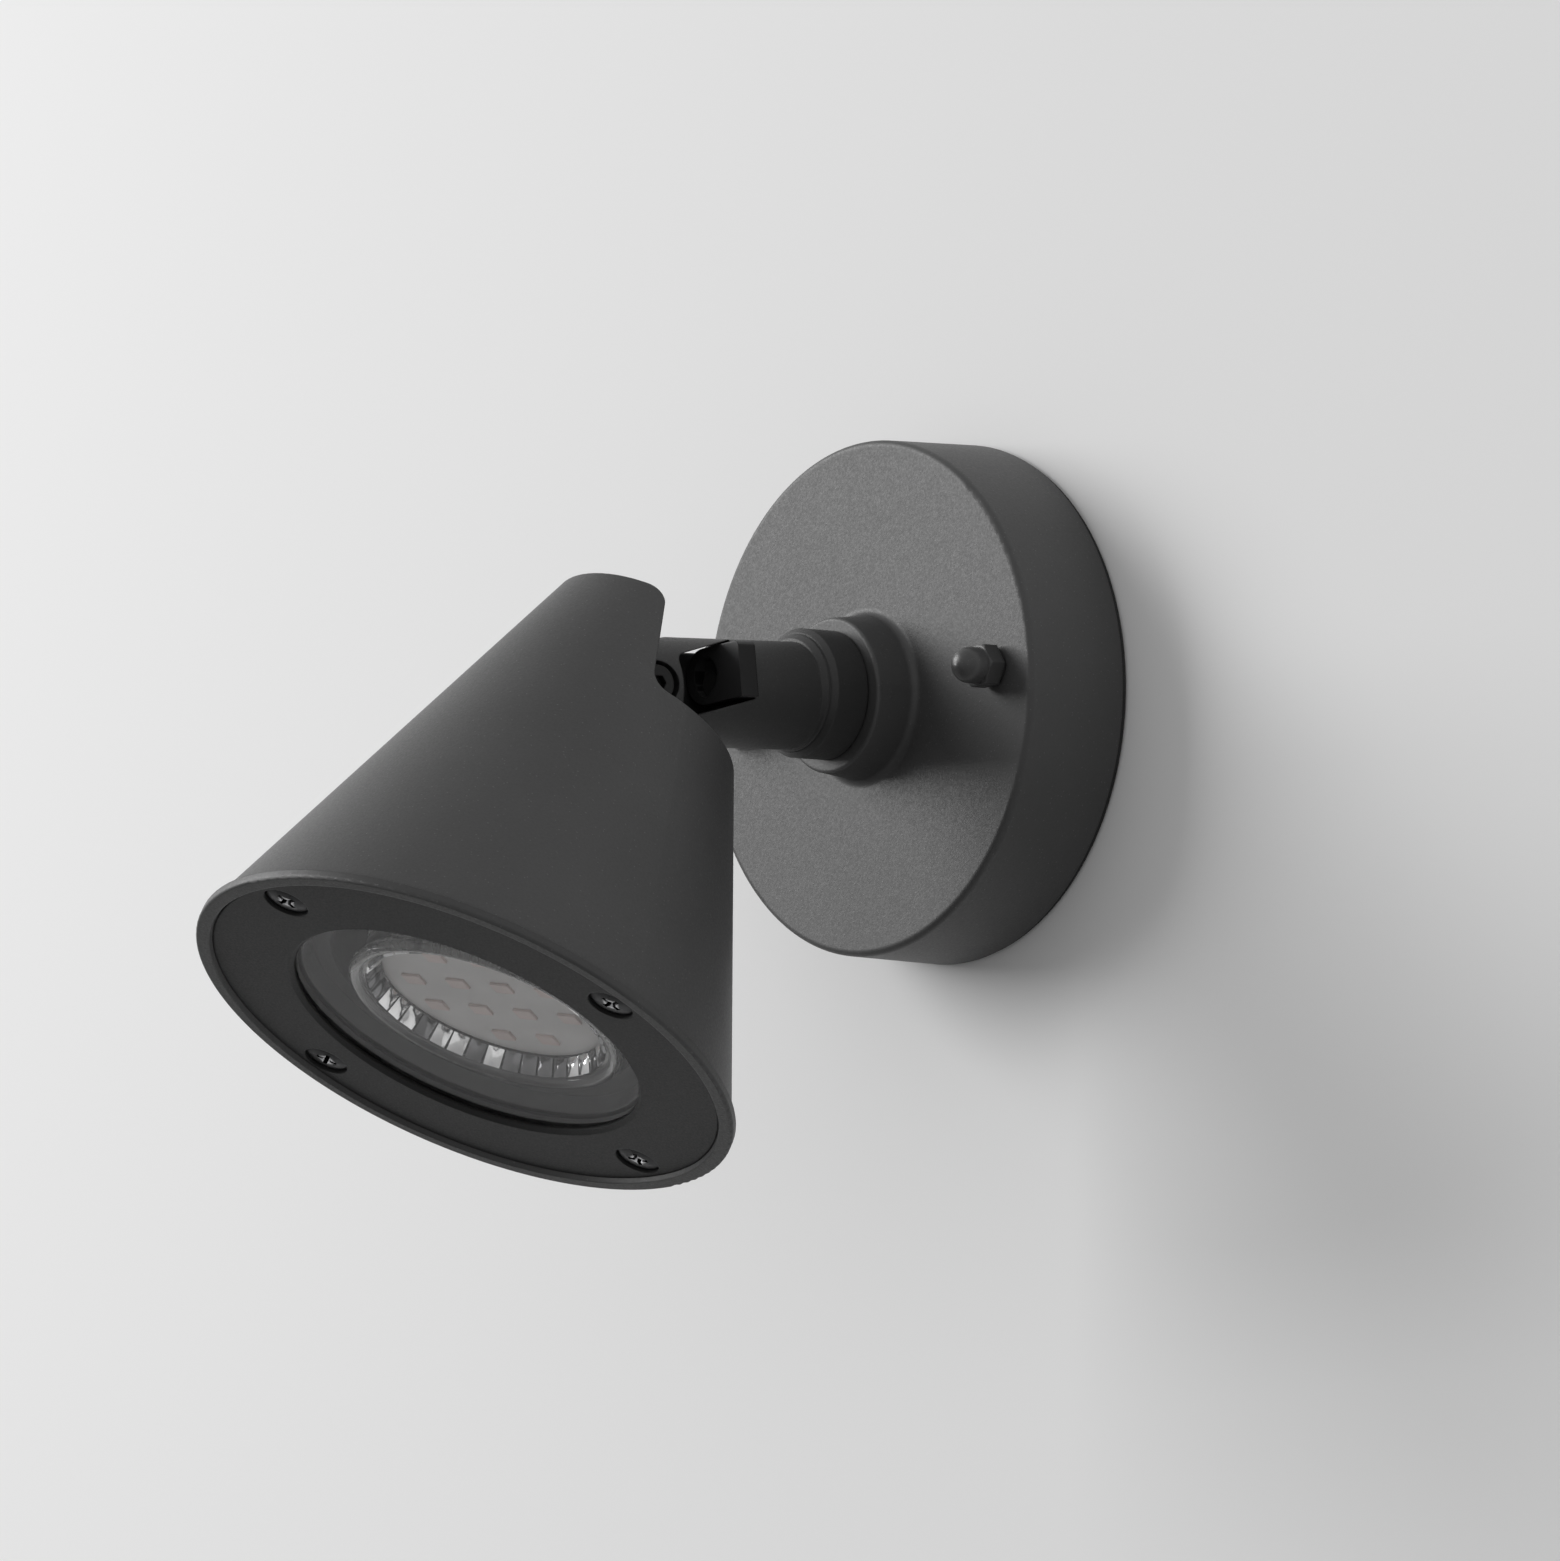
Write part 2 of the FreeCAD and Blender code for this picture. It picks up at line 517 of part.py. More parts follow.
def earth_screw():
    """Pan-head earth screw in the backplate."""
    shank = cylinder("earth_screw_dia/2", "plate_thick+earth_tag_thick+1", x="earth_side", y="earth_rise")
    head = cylinder("earth_screw_dia*0.9", "2.4", x="earth_side", y="earth_rise", z="plate_thick+earth_tag_thick")
    slots = [block("earth_screw_dia*1.1", "0.9", "2", x="earth_side", y="earth_rise",
                   z="plate_thick+earth_tag_thick+1.4"),
             block("0.9", "earth_screw_dia*1.1", "2", x="earth_side", y="earth_rise",
                   z="plate_thick+earth_tag_thick+1.4")]
    node("earth_screw", cut(fuse(shank, head), *slots), CANOPY)


def tube_along(points, radius, bend):
    """Round rod along straight runs joined by tangent arcs."""
    edges = []
    start = points[0]
    for before, corner, after in zip(points, points[1:], points[2:]):
        into = (corner - before).normalize()
        out = (after - corner).normalize()
        half = into.getAngle(out) / 2
        if half < 0.001:
            continue
        reach = bend * math.tan(half)
        first = corner - into * reach
        last = corner + out * reach
        middle = corner + (out - into).normalize() * (bend / math.cos(half) - bend)
        edges += [Part.makeLine(start, first), Part.Arc(first, middle, last).toShape()]
        start = last
    edges.append(Part.makeLine(start, points[-1]))
    path = Part.Wire(edges)
    section = Part.Wire(Part.makeCircle(radius, points[0], points[1] - points[0]))
    return path.makePipeShell([section], True, True)


def canopy_leads():
    """Three single leads from the terminal block to the mouth of the spigot."""
    rods = []
    height = SIZE["plate_thick"] + SIZE["terminal_height"] / 3
    top = -SIZE["terminal_drop"] + SIZE["terminal_depth"] / 2
    for pole in (-1, 0, 1):
        away = pole * SIZE["terminal_pitch"]
        mouth = pole * (SIZE["lead_dia"] + 0.3)
        points = [V(away, top - 3, height), V(away, top + 8, height),
                  V(mouth, -SIZE["lead_dia"] * 1.2, height), V(mouth, 0, SIZE["spigot_end"] - 0.4)]
        rods.append(tube_along(points, SIZE["lead_dia"] / 2, 2.2))
    leads = doc.addObject("Part::Feature", "CanopyLeads")
    leads.Shape = Part.Compound(rods)
    node("canopy_leads", leads, CANOPY)


def swivel_bush():
    """Flanged nylon bush pressed into the boss."""
    sleeve = cylinder("bush_outer_dia/2-seat_gap", "canopy_face_thick+boss_height-0.5", z=FLOOR)
    flange = cylinder("bush_flange_dia/2", "bush_flange_thick", z=FLOOR + "-bush_flange_thick")
    hole = cylinder("spigot_dia/2+running_gap", "canopy_depth+boss_height", z="5")
    node("swivel_bush", cut(fuse(sleeve, flange), hole), CANOPY)


STOP_TOP = FLOOR + "-bush_flange_thick-joint_gap"


def stem_spigot():
    """Hollow threaded spigot, screwed into the collar."""
    node("stem_spigot",
         ring("spigot_dia/2", "spigot_bore/2", COLLAR_SEAT + "+spigot_grip-spigot_end", z="spigot_end"), CANOPY)


def stop_washer():
    """Keyed washer whose tab meets the stop post."""
    base = STOP_TOP + "-stop_washer_thick"
    disc = cylinder("stop_washer_dia/2", "stop_washer_thick", z=base)
    tab = block("stop_tab_width", "stop_tab_reach", "stop_washer_thick", y="stop_tab_reach/2", z=base)
    hole = cylinder("spigot_dia/2+seat_gap", "stop_washer_thick+2", z=base + "-1")
    node("stop_washer", cut(fuse(disc, tab), hole), CANOPY)


def spring_washer():
    """Spring washer between stop washer and lock nut."""
    base = STOP_TOP + "-stop_washer_thick-spring_washer_thick"
    node("spring_washer", ring("spring_washer_dia/2", "spigot_dia/2+seat_gap", "spring_washer_thick", z=base), CANOPY)


def lock_nut():
    """Thin hexagon nut on the spigot."""
    base = STOP_TOP + "-stop_washer_thick-spring_washer_thick-lock_nut_thick"
    body = prism("lock_nut_flats", "lock_nut_thick", z=base)
    node("lock_nut", cut(body, cylinder("spigot_dia/2+seat_gap", "lock_nut_thick+2", z=base + "-1")), CANOPY)


def collar_seal():
    """Rubber ring set in the collar's rear face."""
    node("collar_seal", torus("seal_radius", "seal_section/2", z=COLLAR_SEAT + "+seal_section/2"), CANOPY)


def stem_collar():
    """Stepped collar round the swivel axis: outer bevel, narrow groove, inner bevel."""
    lower = cylinder("collar_dia/2", "collar_length-collar_bevel*2-collar_step", z=COLLAR_SEAT)
    level = COLLAR_SEAT + "+collar_length-collar_bevel*2-collar_step"
    outer_bevel = cone("collar_dia/2", "collar_dia/2-collar_bevel", "collar_bevel", z=level)
    neck = cylinder("collar_dia/2-collar_bevel*1.2", "collar_step", z=level + "+collar_bevel")
    inner_bevel = cone("collar_dia/2-collar_bevel*1.2", "stem_dia/2-0.1", "collar_bevel",
                       z=level + "+collar_bevel+collar_step")
    groove = cut(cylinder("seal_radius+seal_section/2+seat_gap", "seal_section+seat_gap", z=COLLAR_SEAT),
                 cylinder("seal_radius-seal_section/2-seat_gap", "seal_section+2", z=COLLAR_SEAT + "-1"))
    collar = cut(fuse(lower, outer_bevel, neck, inner_bevel), groove)
    collar.Placement = STEM.inverse().multiply(CANOPY)
    return collar


def slab(points, x_from, x_to):
    """Prism on a closed outline of (y, z) corners, running along X."""
    outline = Part.makePolygon([V(x_from, y, z) for y, z in points + points[:1]])
    feature = doc.addObject("Part::Feature", "Slab")
    feature.Shape = Part.Face(outline).extrude(V(x_to - x_from, 0, 0))
    return feature


def fork_outline():
    """Side view of the arm: round about the tilt axis, then two flanks that open towards the canopy."""
    radius, reach, wide = SIZE["knuckle_radius"], SIZE["stem_reach"], SIZE["stem_dia"]
    top, low = math.radians(SIZE["fork_top_slope"]), math.radians(SIZE["fork_low_slope"])
    tip = V(0, 0, reach + radius)
    top_end = V(0, radius * math.cos(top), reach + radius * math.sin(top))
    low_end = V(0, -radius * math.cos(low), reach + radius * math.sin(low))
    top_far = top_end + V(0, math.sin(top), -math.cos(top)) * ((wide - top_end.y) / math.sin(top))
    low_far = low_end + V(0, -math.sin(low), -math.cos(low)) * ((wide + low_end.y) / math.sin(low))
    foot = -wide
    runs = [Part.Arc(top_end, tip, low_end).toShape()]
    corners = [low_end, low_far, V(0, -wide, foot), V(0, wide, foot), top_far, top_end]
    runs += [Part.makeLine(first, last) for first, last in zip(corners, corners[1:])]
    return Part.Wire(runs)


def fork_arm():
    """Round rod trimmed to that outline."""
    start = "boss_height+joint_gap+seal_section*2"
    rod = cylinder("stem_dia/2", "stem_reach+knuckle_radius*2-(%s)" % start, z=start)
    outline = doc.addObject("Part::Feature", "ForkOutline")
    wide = SIZE["stem_dia"]
    outline.Shape = Part.Face(fork_outline()).extrude(V(2 * wide, 0, 0)).translated(V(-wide, 0, 0))
    return common(rod, outline)


def side_window():
    """Sloping window through the near wall, rounded at its room end."""
    drop = math.tan(math.radians(SIZE["window_tilt"]))
    tall = SIZE["window_height"] / math.cos(math.radians(SIZE["window_tilt"]))
    start = SIZE["window_start"]
    end = start + SIZE["window_length"]
    top = SIZE["window_top"]
    low = top - SIZE["window_length"] * drop
    corners = [(top, start), (low, end), (low - tall, end), (top - tall, start)]
    window = slab(corners, -SIZE["window_far_side"], SIZE["stem_dia"])
    return round_edges(window, SIZE["window_round"],
                       lambda edge: along_x(edge) and edge.CenterOfMass.z > end - 0.1)


def stem():
    """Collar, arm, fork and side window in one casting."""
    spigot_hole = bind(doc.addObject("Part::Cylinder", "SpigotHole"), Radius="spigot_dia/2+seat_gap",
                       Height="spigot_grip+joint_gap")
    spigot_hole.Placement = STEM.inverse().multiply(CANOPY).multiply(
        FreeCAD.Placement(V(0, 0, SIZE["canopy_depth"] + SIZE["boss_height"]), FreeCAD.Rotation()))
    tools = [
        spigot_hole,
        cylinder("stem_bore/2", "window_start-boss_height+1", z="boss_height"),
        side_window(),
        block("fork_slot", "stem_dia+2", "fork_slot_depth+knuckle_radius+1", z="stem_reach-fork_slot_depth"),
        cross_cylinder("pivot_dia/2+running_gap", "stem_dia", z="stem_reach"),
        at(turn(bind(doc.addObject("Part::Cylinder", "HeadSeat"), Radius="pivot_head_dia/2+screw_hole_gap",
                     Height="stem_dia"), V(0, 1, 0), 90), "pivot_seat", "0", "stem_reach"),
        at(turn(bind(doc.addObject("Part::Cylinder", "NutSeat"), Radius="pivot_nut_flats/2/cos(30)+screw_hole_gap",
                     Height="stem_dia"), V(0, 1, 0), -90), "-pivot_seat", "0", "stem_reach"),
    ]
    node("stem", cut(fuse(stem_collar(), fork_arm()), *tools), STEM)


def lead_boot():
    """Moulded block in the window: rounded nose on the far side, round mouth, plug in the bore."""
    centre = "boot_rise"
    nose = cylinder("boot_height/2", "boot_thick", y=centre, z="window_start")
    body = block("boot_side", "boot_height", "boot_thick", x="boot_side/2", y=centre, z="window_start")
    plug = cylinder("stem_bore/2-seat_gap", "boot_plug_length", z="window_start-boot_plug_length")
    mouth = cylinder("boot_mouth/2", "boot_mouth_depth+1", x="0.5", y="boot_rise+0.2",
                     z="window_start+boot_thick-boot_mouth_depth")
    way = cylinder("stem_lead_dia/2+seat_gap", "boot_plug_length+boot_thick+2", y="boot_lead_rise",
                   z="window_start-boot_plug_length-1")
    outside = round_edges(fuse(nose, body), 1.2, outer_top_corner)
    node("lead_boot", cut(fuse(outside, plug), mouth, way), STEM)


def outer_top_corner(edge):
    """The block's upper corner at its outer side."""
    middle = edge.CenterOfMass
    side, top = SIZE["boot_side"], SIZE["boot_rise"] + SIZE["boot_height"] / 2
    return abs(middle.x - side) < 0.01 and abs(middle.y - top) < 0.01


def stem_lead():
    """Sheathed lead from the canopy through spigot and stem to the block's mouth."""
    inside = STEM.inverse().multiply(CANOPY).multVec(V(0, 0, SIZE["spigot_end"] + 0.6))
    exit_z = SIZE["window_start"] + SIZE["boot_thick"] - SIZE["boot_mouth_depth"] + 0.8
    rise = SIZE["boot_lead_rise"]
    points = [inside, V(0, 0, SIZE["boss_height"]), V(0, rise, SIZE["window_start"] - SIZE["boot_plug_length"] - 2),
              V(0, rise, exit_z)]
    lead = doc.addObject("Part::Feature", "StemLead")
    lead.Shape = tube_along(points, SIZE["stem_lead_dia"] / 2, SIZE["stem_lead_dia"] * 3)
    node("stem_lead", lead, STEM)


def pivot_bolt():
    """Button-head bolt along the tilt axis with a hexagon socket."""
    shank = cross_cylinder("pivot_dia/2", "pivot_seat+pivot_head_thick", z="stem_reach")
    head = at(turn(bind(doc.addObject("Part::Cone", "BoltHead"), Radius1="pivot_head_dia/2",
                        Radius2="pivot_head_dia/2-0.7", Height="pivot_head_thick"), V(0, 1, 0), 90),
              "pivot_seat", "0", "stem_reach")
    socket = turn(doc.addObject("Part::Prism", "Socket"), V(0, 1, 0), 90)
    socket.Polygon = 6
    bind(socket, Circumradius="pivot_dia*0.36", Height="2")
    at(socket, "pivot_seat+pivot_head_thick-1.4", "0", "stem_reach")
    node("pivot_bolt", cut(fuse(shank, head), socket), STEM)


def pivot_nut():
    """Thin hexagon nut in the far cheek's recess."""
    nut = turn(doc.addObject("Part::Prism", "Nut"), V(0, 1, 0), -90)
    nut.Polygon = 6
    bind(nut, Circumradius="pivot_nut_flats/2/cos(30)", Height="pivot_head_thick")
    at(nut, "-pivot_seat", "0", "stem_reach")
    hole = cross_cylinder("pivot_dia/2+seat_gap", "stem_dia", z="stem_reach")
    node("pivot_nut", cut(nut, hole), STEM)


def friction_washers():
    """Washers against the insides of both cheeks."""
    washers = []
    for side in SIDES:
        disc = turn(doc.addObject("Part::Cylinder", "Washer"), V(0, 1, 0), 90 * side)
        bind(disc, Radius="friction_washer_dia/2", Height="friction_washer_thick")
        at(disc, "%d*(fork_slot/2-friction_washer_thick)" % side, "0", "stem_reach")
        washers.append(cut(disc, cross_cylinder("pivot_dia/2+seat_gap", "fork_slot", z="stem_reach")))
    node("friction_washers", group(*washers), STEM)


INNER = "shade_cone_dia/2-shade_wall"       # radius of the shade's inner cone at the front plane
TAPER = "(shade_cone_dia-shade_end_dia)/(2*shade_length)"
BEZEL_BACK = "bezel_inset+bezel_thick"
OPENING = INNER + "-bezel_gap-bezel_band"   # radii from here on
PITCH = "(%s-screw_inset)" % INNER
GLASS = OPENING + "+glass_overlap"
WIDE_BORE = OPENING + "-can_step"
MID_BORE = "lamp_dia/2+lamp_room"
GLASS_FRONT = "bezel_inset+opening_lip"
FLANGE_BACK = "bezel_inset+bezel_thick+can_flange_thick"
FLOOR_BACK = "can_back_end+can_wall"


def tapered(radius, length, z="0"):
    """Frustum with the shade's taper, whose radius is given at the front plane."""
    return cone("%s-%s*(%s)" % (radius, TAPER, z), "%s-%s*(%s+%s)" % (radius, TAPER, z, length), length, z=z)


def four_places():
    """Directions of the four front screws as factors of the pitch radius."""
    return ((1, 0), (0, 1), (-1, 0), (0, -1))


def at_screws(make):
    """One solid at each front screw."""
    return [make("%d*%s" % (x, PITCH), "%d*%s" % (y, PITCH)) for x, y in four_places()]


def shade():
    """Conical shell with a front lip, a step cut behind and four screw posts inside."""
    outer = tapered("shade_cone_dia/2", "shade_length")
    lip = cylinder("shade_cone_dia/2+shade_lip_proud", "shade_lip_length")
    lip_radius = SIZE["shade_cone_dia"] / 2 + SIZE["shade_lip_proud"]
    outside = round_edges(fuse(outer, lip), SIZE["shade_lip_round"], is_circle(lip_radius, 0))
    inside = tapered(INNER, "shade_length+2", z="-1")
    ring_end, end, edge_y, wide = SIZE["shade_ring_length"], SIZE["shade_length"], -SIZE["hood_edge"], SIZE["shade_cone_dia"]
    kept = slab([(-wide, -wide), (wide, -wide), (wide, ring_end), (edge_y, ring_end), (edge_y, end), (-wide, end)],
                -wide, wide)
    kept = round_edges(kept, SIZE["hood_corner"],
                       lambda edge: along_x(edge) and abs(edge.CenterOfMass.y - edge_y) < 0.01)
    shell = common(cut(outside, inside), kept)
    posts = common(fuse(*at_screws(lambda x, y: cylinder("post_dia/2", "post_length", x=x, y=y, z=FLANGE_BACK))),
                   tapered("shade_cone_dia/2-shade_wall/2", "shade_ring_length"))
    threads = at_screws(lambda x, y: cylinder("screw_dia/2+seat_gap", "screw_length", x=x, y=y,
                                              z="bezel_inset+screw_length/2"))
    node("shade", cut(fuse(shell, posts), *threads), HEAD)


def bezel():
    """Front ring: tapered edge, bevelled opening, counterbored screw holes."""
    body = tapered(INNER + "-bezel_gap", "bezel_thick", z="bezel_inset")
    opening = cylinder(OPENING, "bezel_thick+2", z="bezel_inset-1")
    bevel = cone(OPENING + "+opening_bevel", OPENING, "opening_bevel", z="bezel_inset")
    recesses = at_screws(lambda x, y: cylinder("counterbore_dia/2", "counterbore_depth+1", x=x, y=y,
                                               z="bezel_inset-1"))
    holes = at_screws(lambda x, y: cylinder("screw_dia/2+screw_hole_gap", "bezel_thick+2", x=x, y=y,
                                            z="bezel_inset-1"))
    pocket = cylinder(GLASS + "+glass_gap", "bezel_thick", z=GLASS_FRONT)
    node("bezel", cut(body, opening, bevel, pocket, *(recesses + holes)), HEAD)


def bezel_screws():
    """Pan-head screws with cross recesses, seated in the counterbores."""
    seat = "bezel_inset+counterbore_depth"
    screws = []
    for x, y in four_places():
        x, y = "%d*%s" % (x, PITCH), "%d*%s" % (y, PITCH)
        head = cone("screw_head_dia/2-0.5", "screw_head_dia/2", "screw_head_thick", x=x, y=y,
                    z=seat + "-screw_head_thick")
        shank = cylinder("screw_dia/2", "screw_length", x=x, y=y, z=seat)
        top = seat + "-screw_head_thick-1"
        slots = [block("drive_span", "drive_width", "drive_depth+1", x=x, y=y, z=top),
                 block("drive_width", "drive_span", "drive_depth+1", x=x, y=y, z=top)]
        screws.append(cut(fuse(head, shank), *slots))
    node("bezel_screws", group(*screws), HEAD)


def front_glass():
    """Clear disc in the front ring's pocket."""
    node("front_glass", cylinder(GLASS, "glass_thick", z=GLASS_FRONT), HEAD)


def glass_gasket():
    """Flat rubber ring behind the glass."""
    node("glass_gasket", ring(GLASS, GLASS + "-glass_gasket_width", "glass_gasket_thick",
                              z=GLASS_FRONT + "+glass_thick"), HEAD)


def lamp_can():
    """Stepped cup behind the front ring, with the lampholder's housing and the tongue of the tilt joint."""
    pocket = GLASS_FRONT + "+glass_thick+glass_gasket_thick"
    flange = cut(cylinder(INNER + "-flange_inset", "can_flange_thick", z=BEZEL_BACK),
                 *at_screws(lambda x, y: cylinder("screw_dia/2+screw_hole_gap", "10", x=x, y=y)))
    steps = [
        cylinder(GLASS + "+glass_gap+can_wall", "%s+can_wall-(%s)" % (pocket, BEZEL_BACK), z=BEZEL_BACK),
        cylinder(WIDE_BORE + "+can_wall", "can_wide_end+can_wall-(%s)" % BEZEL_BACK, z=BEZEL_BACK),
        cylinder(MID_BORE + "+can_wall", "can_mid_end+can_wall-can_wide_end", z="can_wide_end"),
        cylinder("can_back_dia/2+can_wall", "can_back_end+can_wall-can_mid_end", z="can_mid_end"),
        housing(),
        block("tongue_thick", "tongue_radius*2", "pivot_behind-can_end+can_wall/2", y="pivot_offset",
              z="can_end-can_wall/2"),
        cross_cylinder("tongue_radius", "tongue_thick/2", y="pivot_offset", z="pivot_behind"),
    ]
    hollows = [
        cylinder(GLASS + "+glass_gap", "%s-(%s)+1" % (pocket, BEZEL_BACK), z=BEZEL_BACK + "-1"),
        cylinder(WIDE_BORE, "can_wide_end", z="0"),
        cylinder(MID_BORE, "can_mid_end", z="0"),
        cylinder("can_back_dia/2", "can_back_end", z="0"),
        block("holder_box_width", "holder_box_depth", "can_end-can_wall-can_back_end+1", z="can_back_end-1"),
        cylinder("can_grommet_dia/2-1", "20", x="can_grommet_side", y="can_grommet_rise", z="can_back_end-5"),
        cross_cylinder("pivot_dia/2+running_gap", "stem_dia", y="pivot_offset", z="pivot_behind"),
    ]
    for side in SIDES:
        hollows.append(cylinder("holder_screw_dia/2+seat_gap", "can_wall+2", x="%d*holder_screw_spacing/2" % side,
                                z="can_end-can_wall-1"))
    node("lamp_can", cut(fuse(flange, *steps), *hollows), HEAD)


def housing():
    """Box for the lampholder, rounded along its back edges."""
    box = block("holder_box_width+2*can_wall", "holder_box_depth+2*can_wall", "can_end-can_back_end",
                z="can_back_end")
    return round_edges(box, SIZE["housing_round"],
                       lambda edge: along_x(edge) and edge.CenterOfMass.z > SIZE["can_end"] - 0.1)


def can_grommet():
    """Rubber grommet for the lead, in the can's rear floor."""
    place = {"x": "can_grommet_side", "y": "can_grommet_rise"}
    body = fuse(cylinder("can_grommet_dia/2-1-seat_gap", "can_wall+2", z="can_back_end-1", **place),
                cylinder("can_grommet_dia/2", "1", z="can_back_end-1", **place),
                cylinder("can_grommet_dia/2", "1", z=FLOOR_BACK, **place))
    node("can_grommet", cut(body, cylinder("can_grommet_bore/2", "20", z="can_back_end-10", **place)), HEAD)


LENS_BACK = "lamp_front+lamp_bowl_depth"
BASE = "lamp_front+lamp_length"
BOWL = "lamp_dia/2-lamp_rim_band"
BOARD = BOWL + "-board_inset"
HELD = V(0, 0, SIZE["lamp_front"] + SIZE["lamp_length"] - SIZE["lamp_base_gap"])
LAMP = HEAD.multiply(FreeCAD.Placement(V(0, 0, 0), FreeCAD.Rotation(V(1, 0, 0), SIZE["lamp_sag"]), HELD))


def lamp_body():
    """Tapered lamp body with its base and the seat of the board."""
    taper = cone(BOWL + "+1.5", "lamp_shoulder_dia/2", "lamp_length-lamp_bowl_depth-lamp_neck_length",
                 z=LENS_BACK)
    neck = cylinder("lamp_neck_dia/2", "lamp_neck_length-lamp_base_gap", z=BASE + "-lamp_neck_length")
    seat = cylinder(BOARD, "lamp_bowl_depth-board_behind-board_thick",
                    z="lamp_front+board_behind+board_thick")
    node("lamp_body", fuse(taper, neck, seat), LAMP)


def lamp_lens():
    """Clear ring with a rolled rim, round the board."""
    rim = torus("lamp_dia/2-lamp_rim_thick/2", "lamp_rim_thick/2", z="lamp_front+lamp_rim_thick/2")
    web = cylinder("lamp_dia/2-lamp_rim_thick/2", "lamp_bowl_depth-lamp_rim_thick/2",
                   z="lamp_front+lamp_rim_thick/2")
    dish = cone(BOWL, BOARD + "+seat_gap", "board_behind", z="lamp_front")
    hole = cylinder(BOARD + "+seat_gap", "lamp_bowl_depth+2", z="lamp_front-1")
    node("lamp_lens", cut(fuse(rim, web), dish, hole), LAMP)


def lamp_board():
    """Round board that carries the chips."""
    node("lamp_board", cylinder(BOARD, "board_thick", z="lamp_front+board_behind"), LAMP)


def lamp_chips():
    """Flat chips on a square grid without its corners."""
    chips = []
    for row in (-1.5, -0.5, 0.5, 1.5):
        for column in (-1.5, -0.5, 0.5, 1.5):
            if abs(row) + abs(column) < 3:
                chips.append(block("chip_long", "chip_short", "chip_thick", x="%s*chip_pitch" % column,
                                   y="%s*chip_pitch" % row, z="lamp_front+board_behind-chip_thick"))
    turned = LAMP.multiply(FreeCAD.Placement(V(0, 0, 0), FreeCAD.Rotation(V(0, 0, 1), SIZE["lamp_turn"])))
    node("lamp_chips", group(*chips), turned)


def lamp_pins():
    """Two headed pins of the lamp's base."""
    pins = []
    for side in SIDES:
        place = "%d*pin_spacing/2" % side
        pins.append(fuse(cylinder("pin_dia/2", "pin_length+lamp_base_gap-0.15", x=place, z=BASE + "-lamp_base_gap+0.15"),
                         cylinder("pin_head_dia/2", "pin_head_thick", x=place,
                                  z=BASE + "+pin_length-pin_head_thick")))
    node("lamp_pins", group(*pins), HEAD)


def lamp_holder():
    """Ceramic holder with two pin wells and two counterbored screw holes."""
    body = block("holder_width", "holder_depth", "holder_height", z=BASE)
    tools = []
    for side in SIDES:
        well = "%d*pin_spacing/2" % side
        screw = "%d*holder_screw_spacing/2" % side
        tools += [cylinder("pin_head_dia/2+seat_gap", "pin_length+contact_thick+1", x=well, z=BASE + "-1"),
                  cylinder("holder_screw_dia/2+screw_hole_gap", "holder_height+2", x=screw, z=BASE + "-1"),
                  cylinder("holder_screw_dia+0.2", "3.4", x=screw, z=BASE + "-1")]
    node("lamp_holder", cut(body, *tools), HEAD)


def holder_contacts():
    """Brass contacts under the pin heads."""
    discs = [cylinder("pin_head_dia/2", "contact_thick", x="%d*pin_spacing/2" % side, z=BASE + "+pin_length")
             for side in SIDES]
    node("holder_contacts", group(*discs), HEAD)


def holder_screws():
    """Two screws through the holder into the can's back wall."""
    screws = []
    for side in SIDES:
        place = "%d*holder_screw_spacing/2" % side
        head = cylinder("holder_screw_dia", "2.2", x=place, z=BASE + "+0.2")
        shank = cylinder("holder_screw_dia/2", "can_end-(%s)-0.7" % BASE, x=place, z=BASE + "+0.2")
        slot = block("holder_screw_dia*2+1", "0.7", "1.6", x=place, z=BASE + "-0.6")
        screws.append(cut(fuse(head, shank), slot))
    node("holder_screws", group(*screws), HEAD)


def head_leads():
    """Two single leads from the grommet to the holder, past the lamp's base."""
    radius = SIZE["lead_dia"] / 2
    x, y = SIZE["can_grommet_side"], SIZE["can_grommet_rise"]
    back, turn_z = SIZE["can_back_end"] + SIZE["can_wall"] + SIZE["lead_tail"], SIZE["can_back_end"] - SIZE["lead_turn"]
    seat = SIZE["lamp_front"] + SIZE["lamp_length"]
    side = SIZE["holder_width"] / 2 - radius - SIZE["lead_edge"]
    rise = SIZE["holder_depth"] / 2 - radius - SIZE["lead_inset"]
    near = [V(x + radius, y, back), V(x + radius, y, turn_z), V(side, rise, turn_z), V(side, rise, seat)]
    far = [V(x - radius, y, back), V(x - radius, y, turn_z), V(-side * 0.68, y * 0.9, turn_z),
           V(-side, rise, turn_z), V(-side, rise, seat)]
    leads = doc.addObject("Part::Feature", "HeadLeads")
    leads.Shape = Part.Compound([tube_along(near, radius, SIZE["lead_bend"]), tube_along(far, radius, SIZE["lead_bend"])])
    node("head_leads", leads, HEAD)


for build in (canopy, wall_gasket, backplate, canopy_studs, cap_nut_washers, cap_nuts, supply_grommet,
              terminal_block, terminal_screws, terminal_fixing_screw, earth_tag, earth_screw, canopy_leads,
              swivel_bush, stem_spigot, stop_washer, spring_washer, lock_nut, collar_seal, stem, lead_boot,
              stem_lead, pivot_bolt, pivot_nut, friction_washers, shade, bezel, bezel_screws, front_glass,
              glass_gasket, lamp_can, can_grommet, lamp_body, lamp_lens, lamp_board, lamp_chips, lamp_pins,
              lamp_holder, holder_contacts, holder_screws, head_leads):
    build()
doc.recompute()

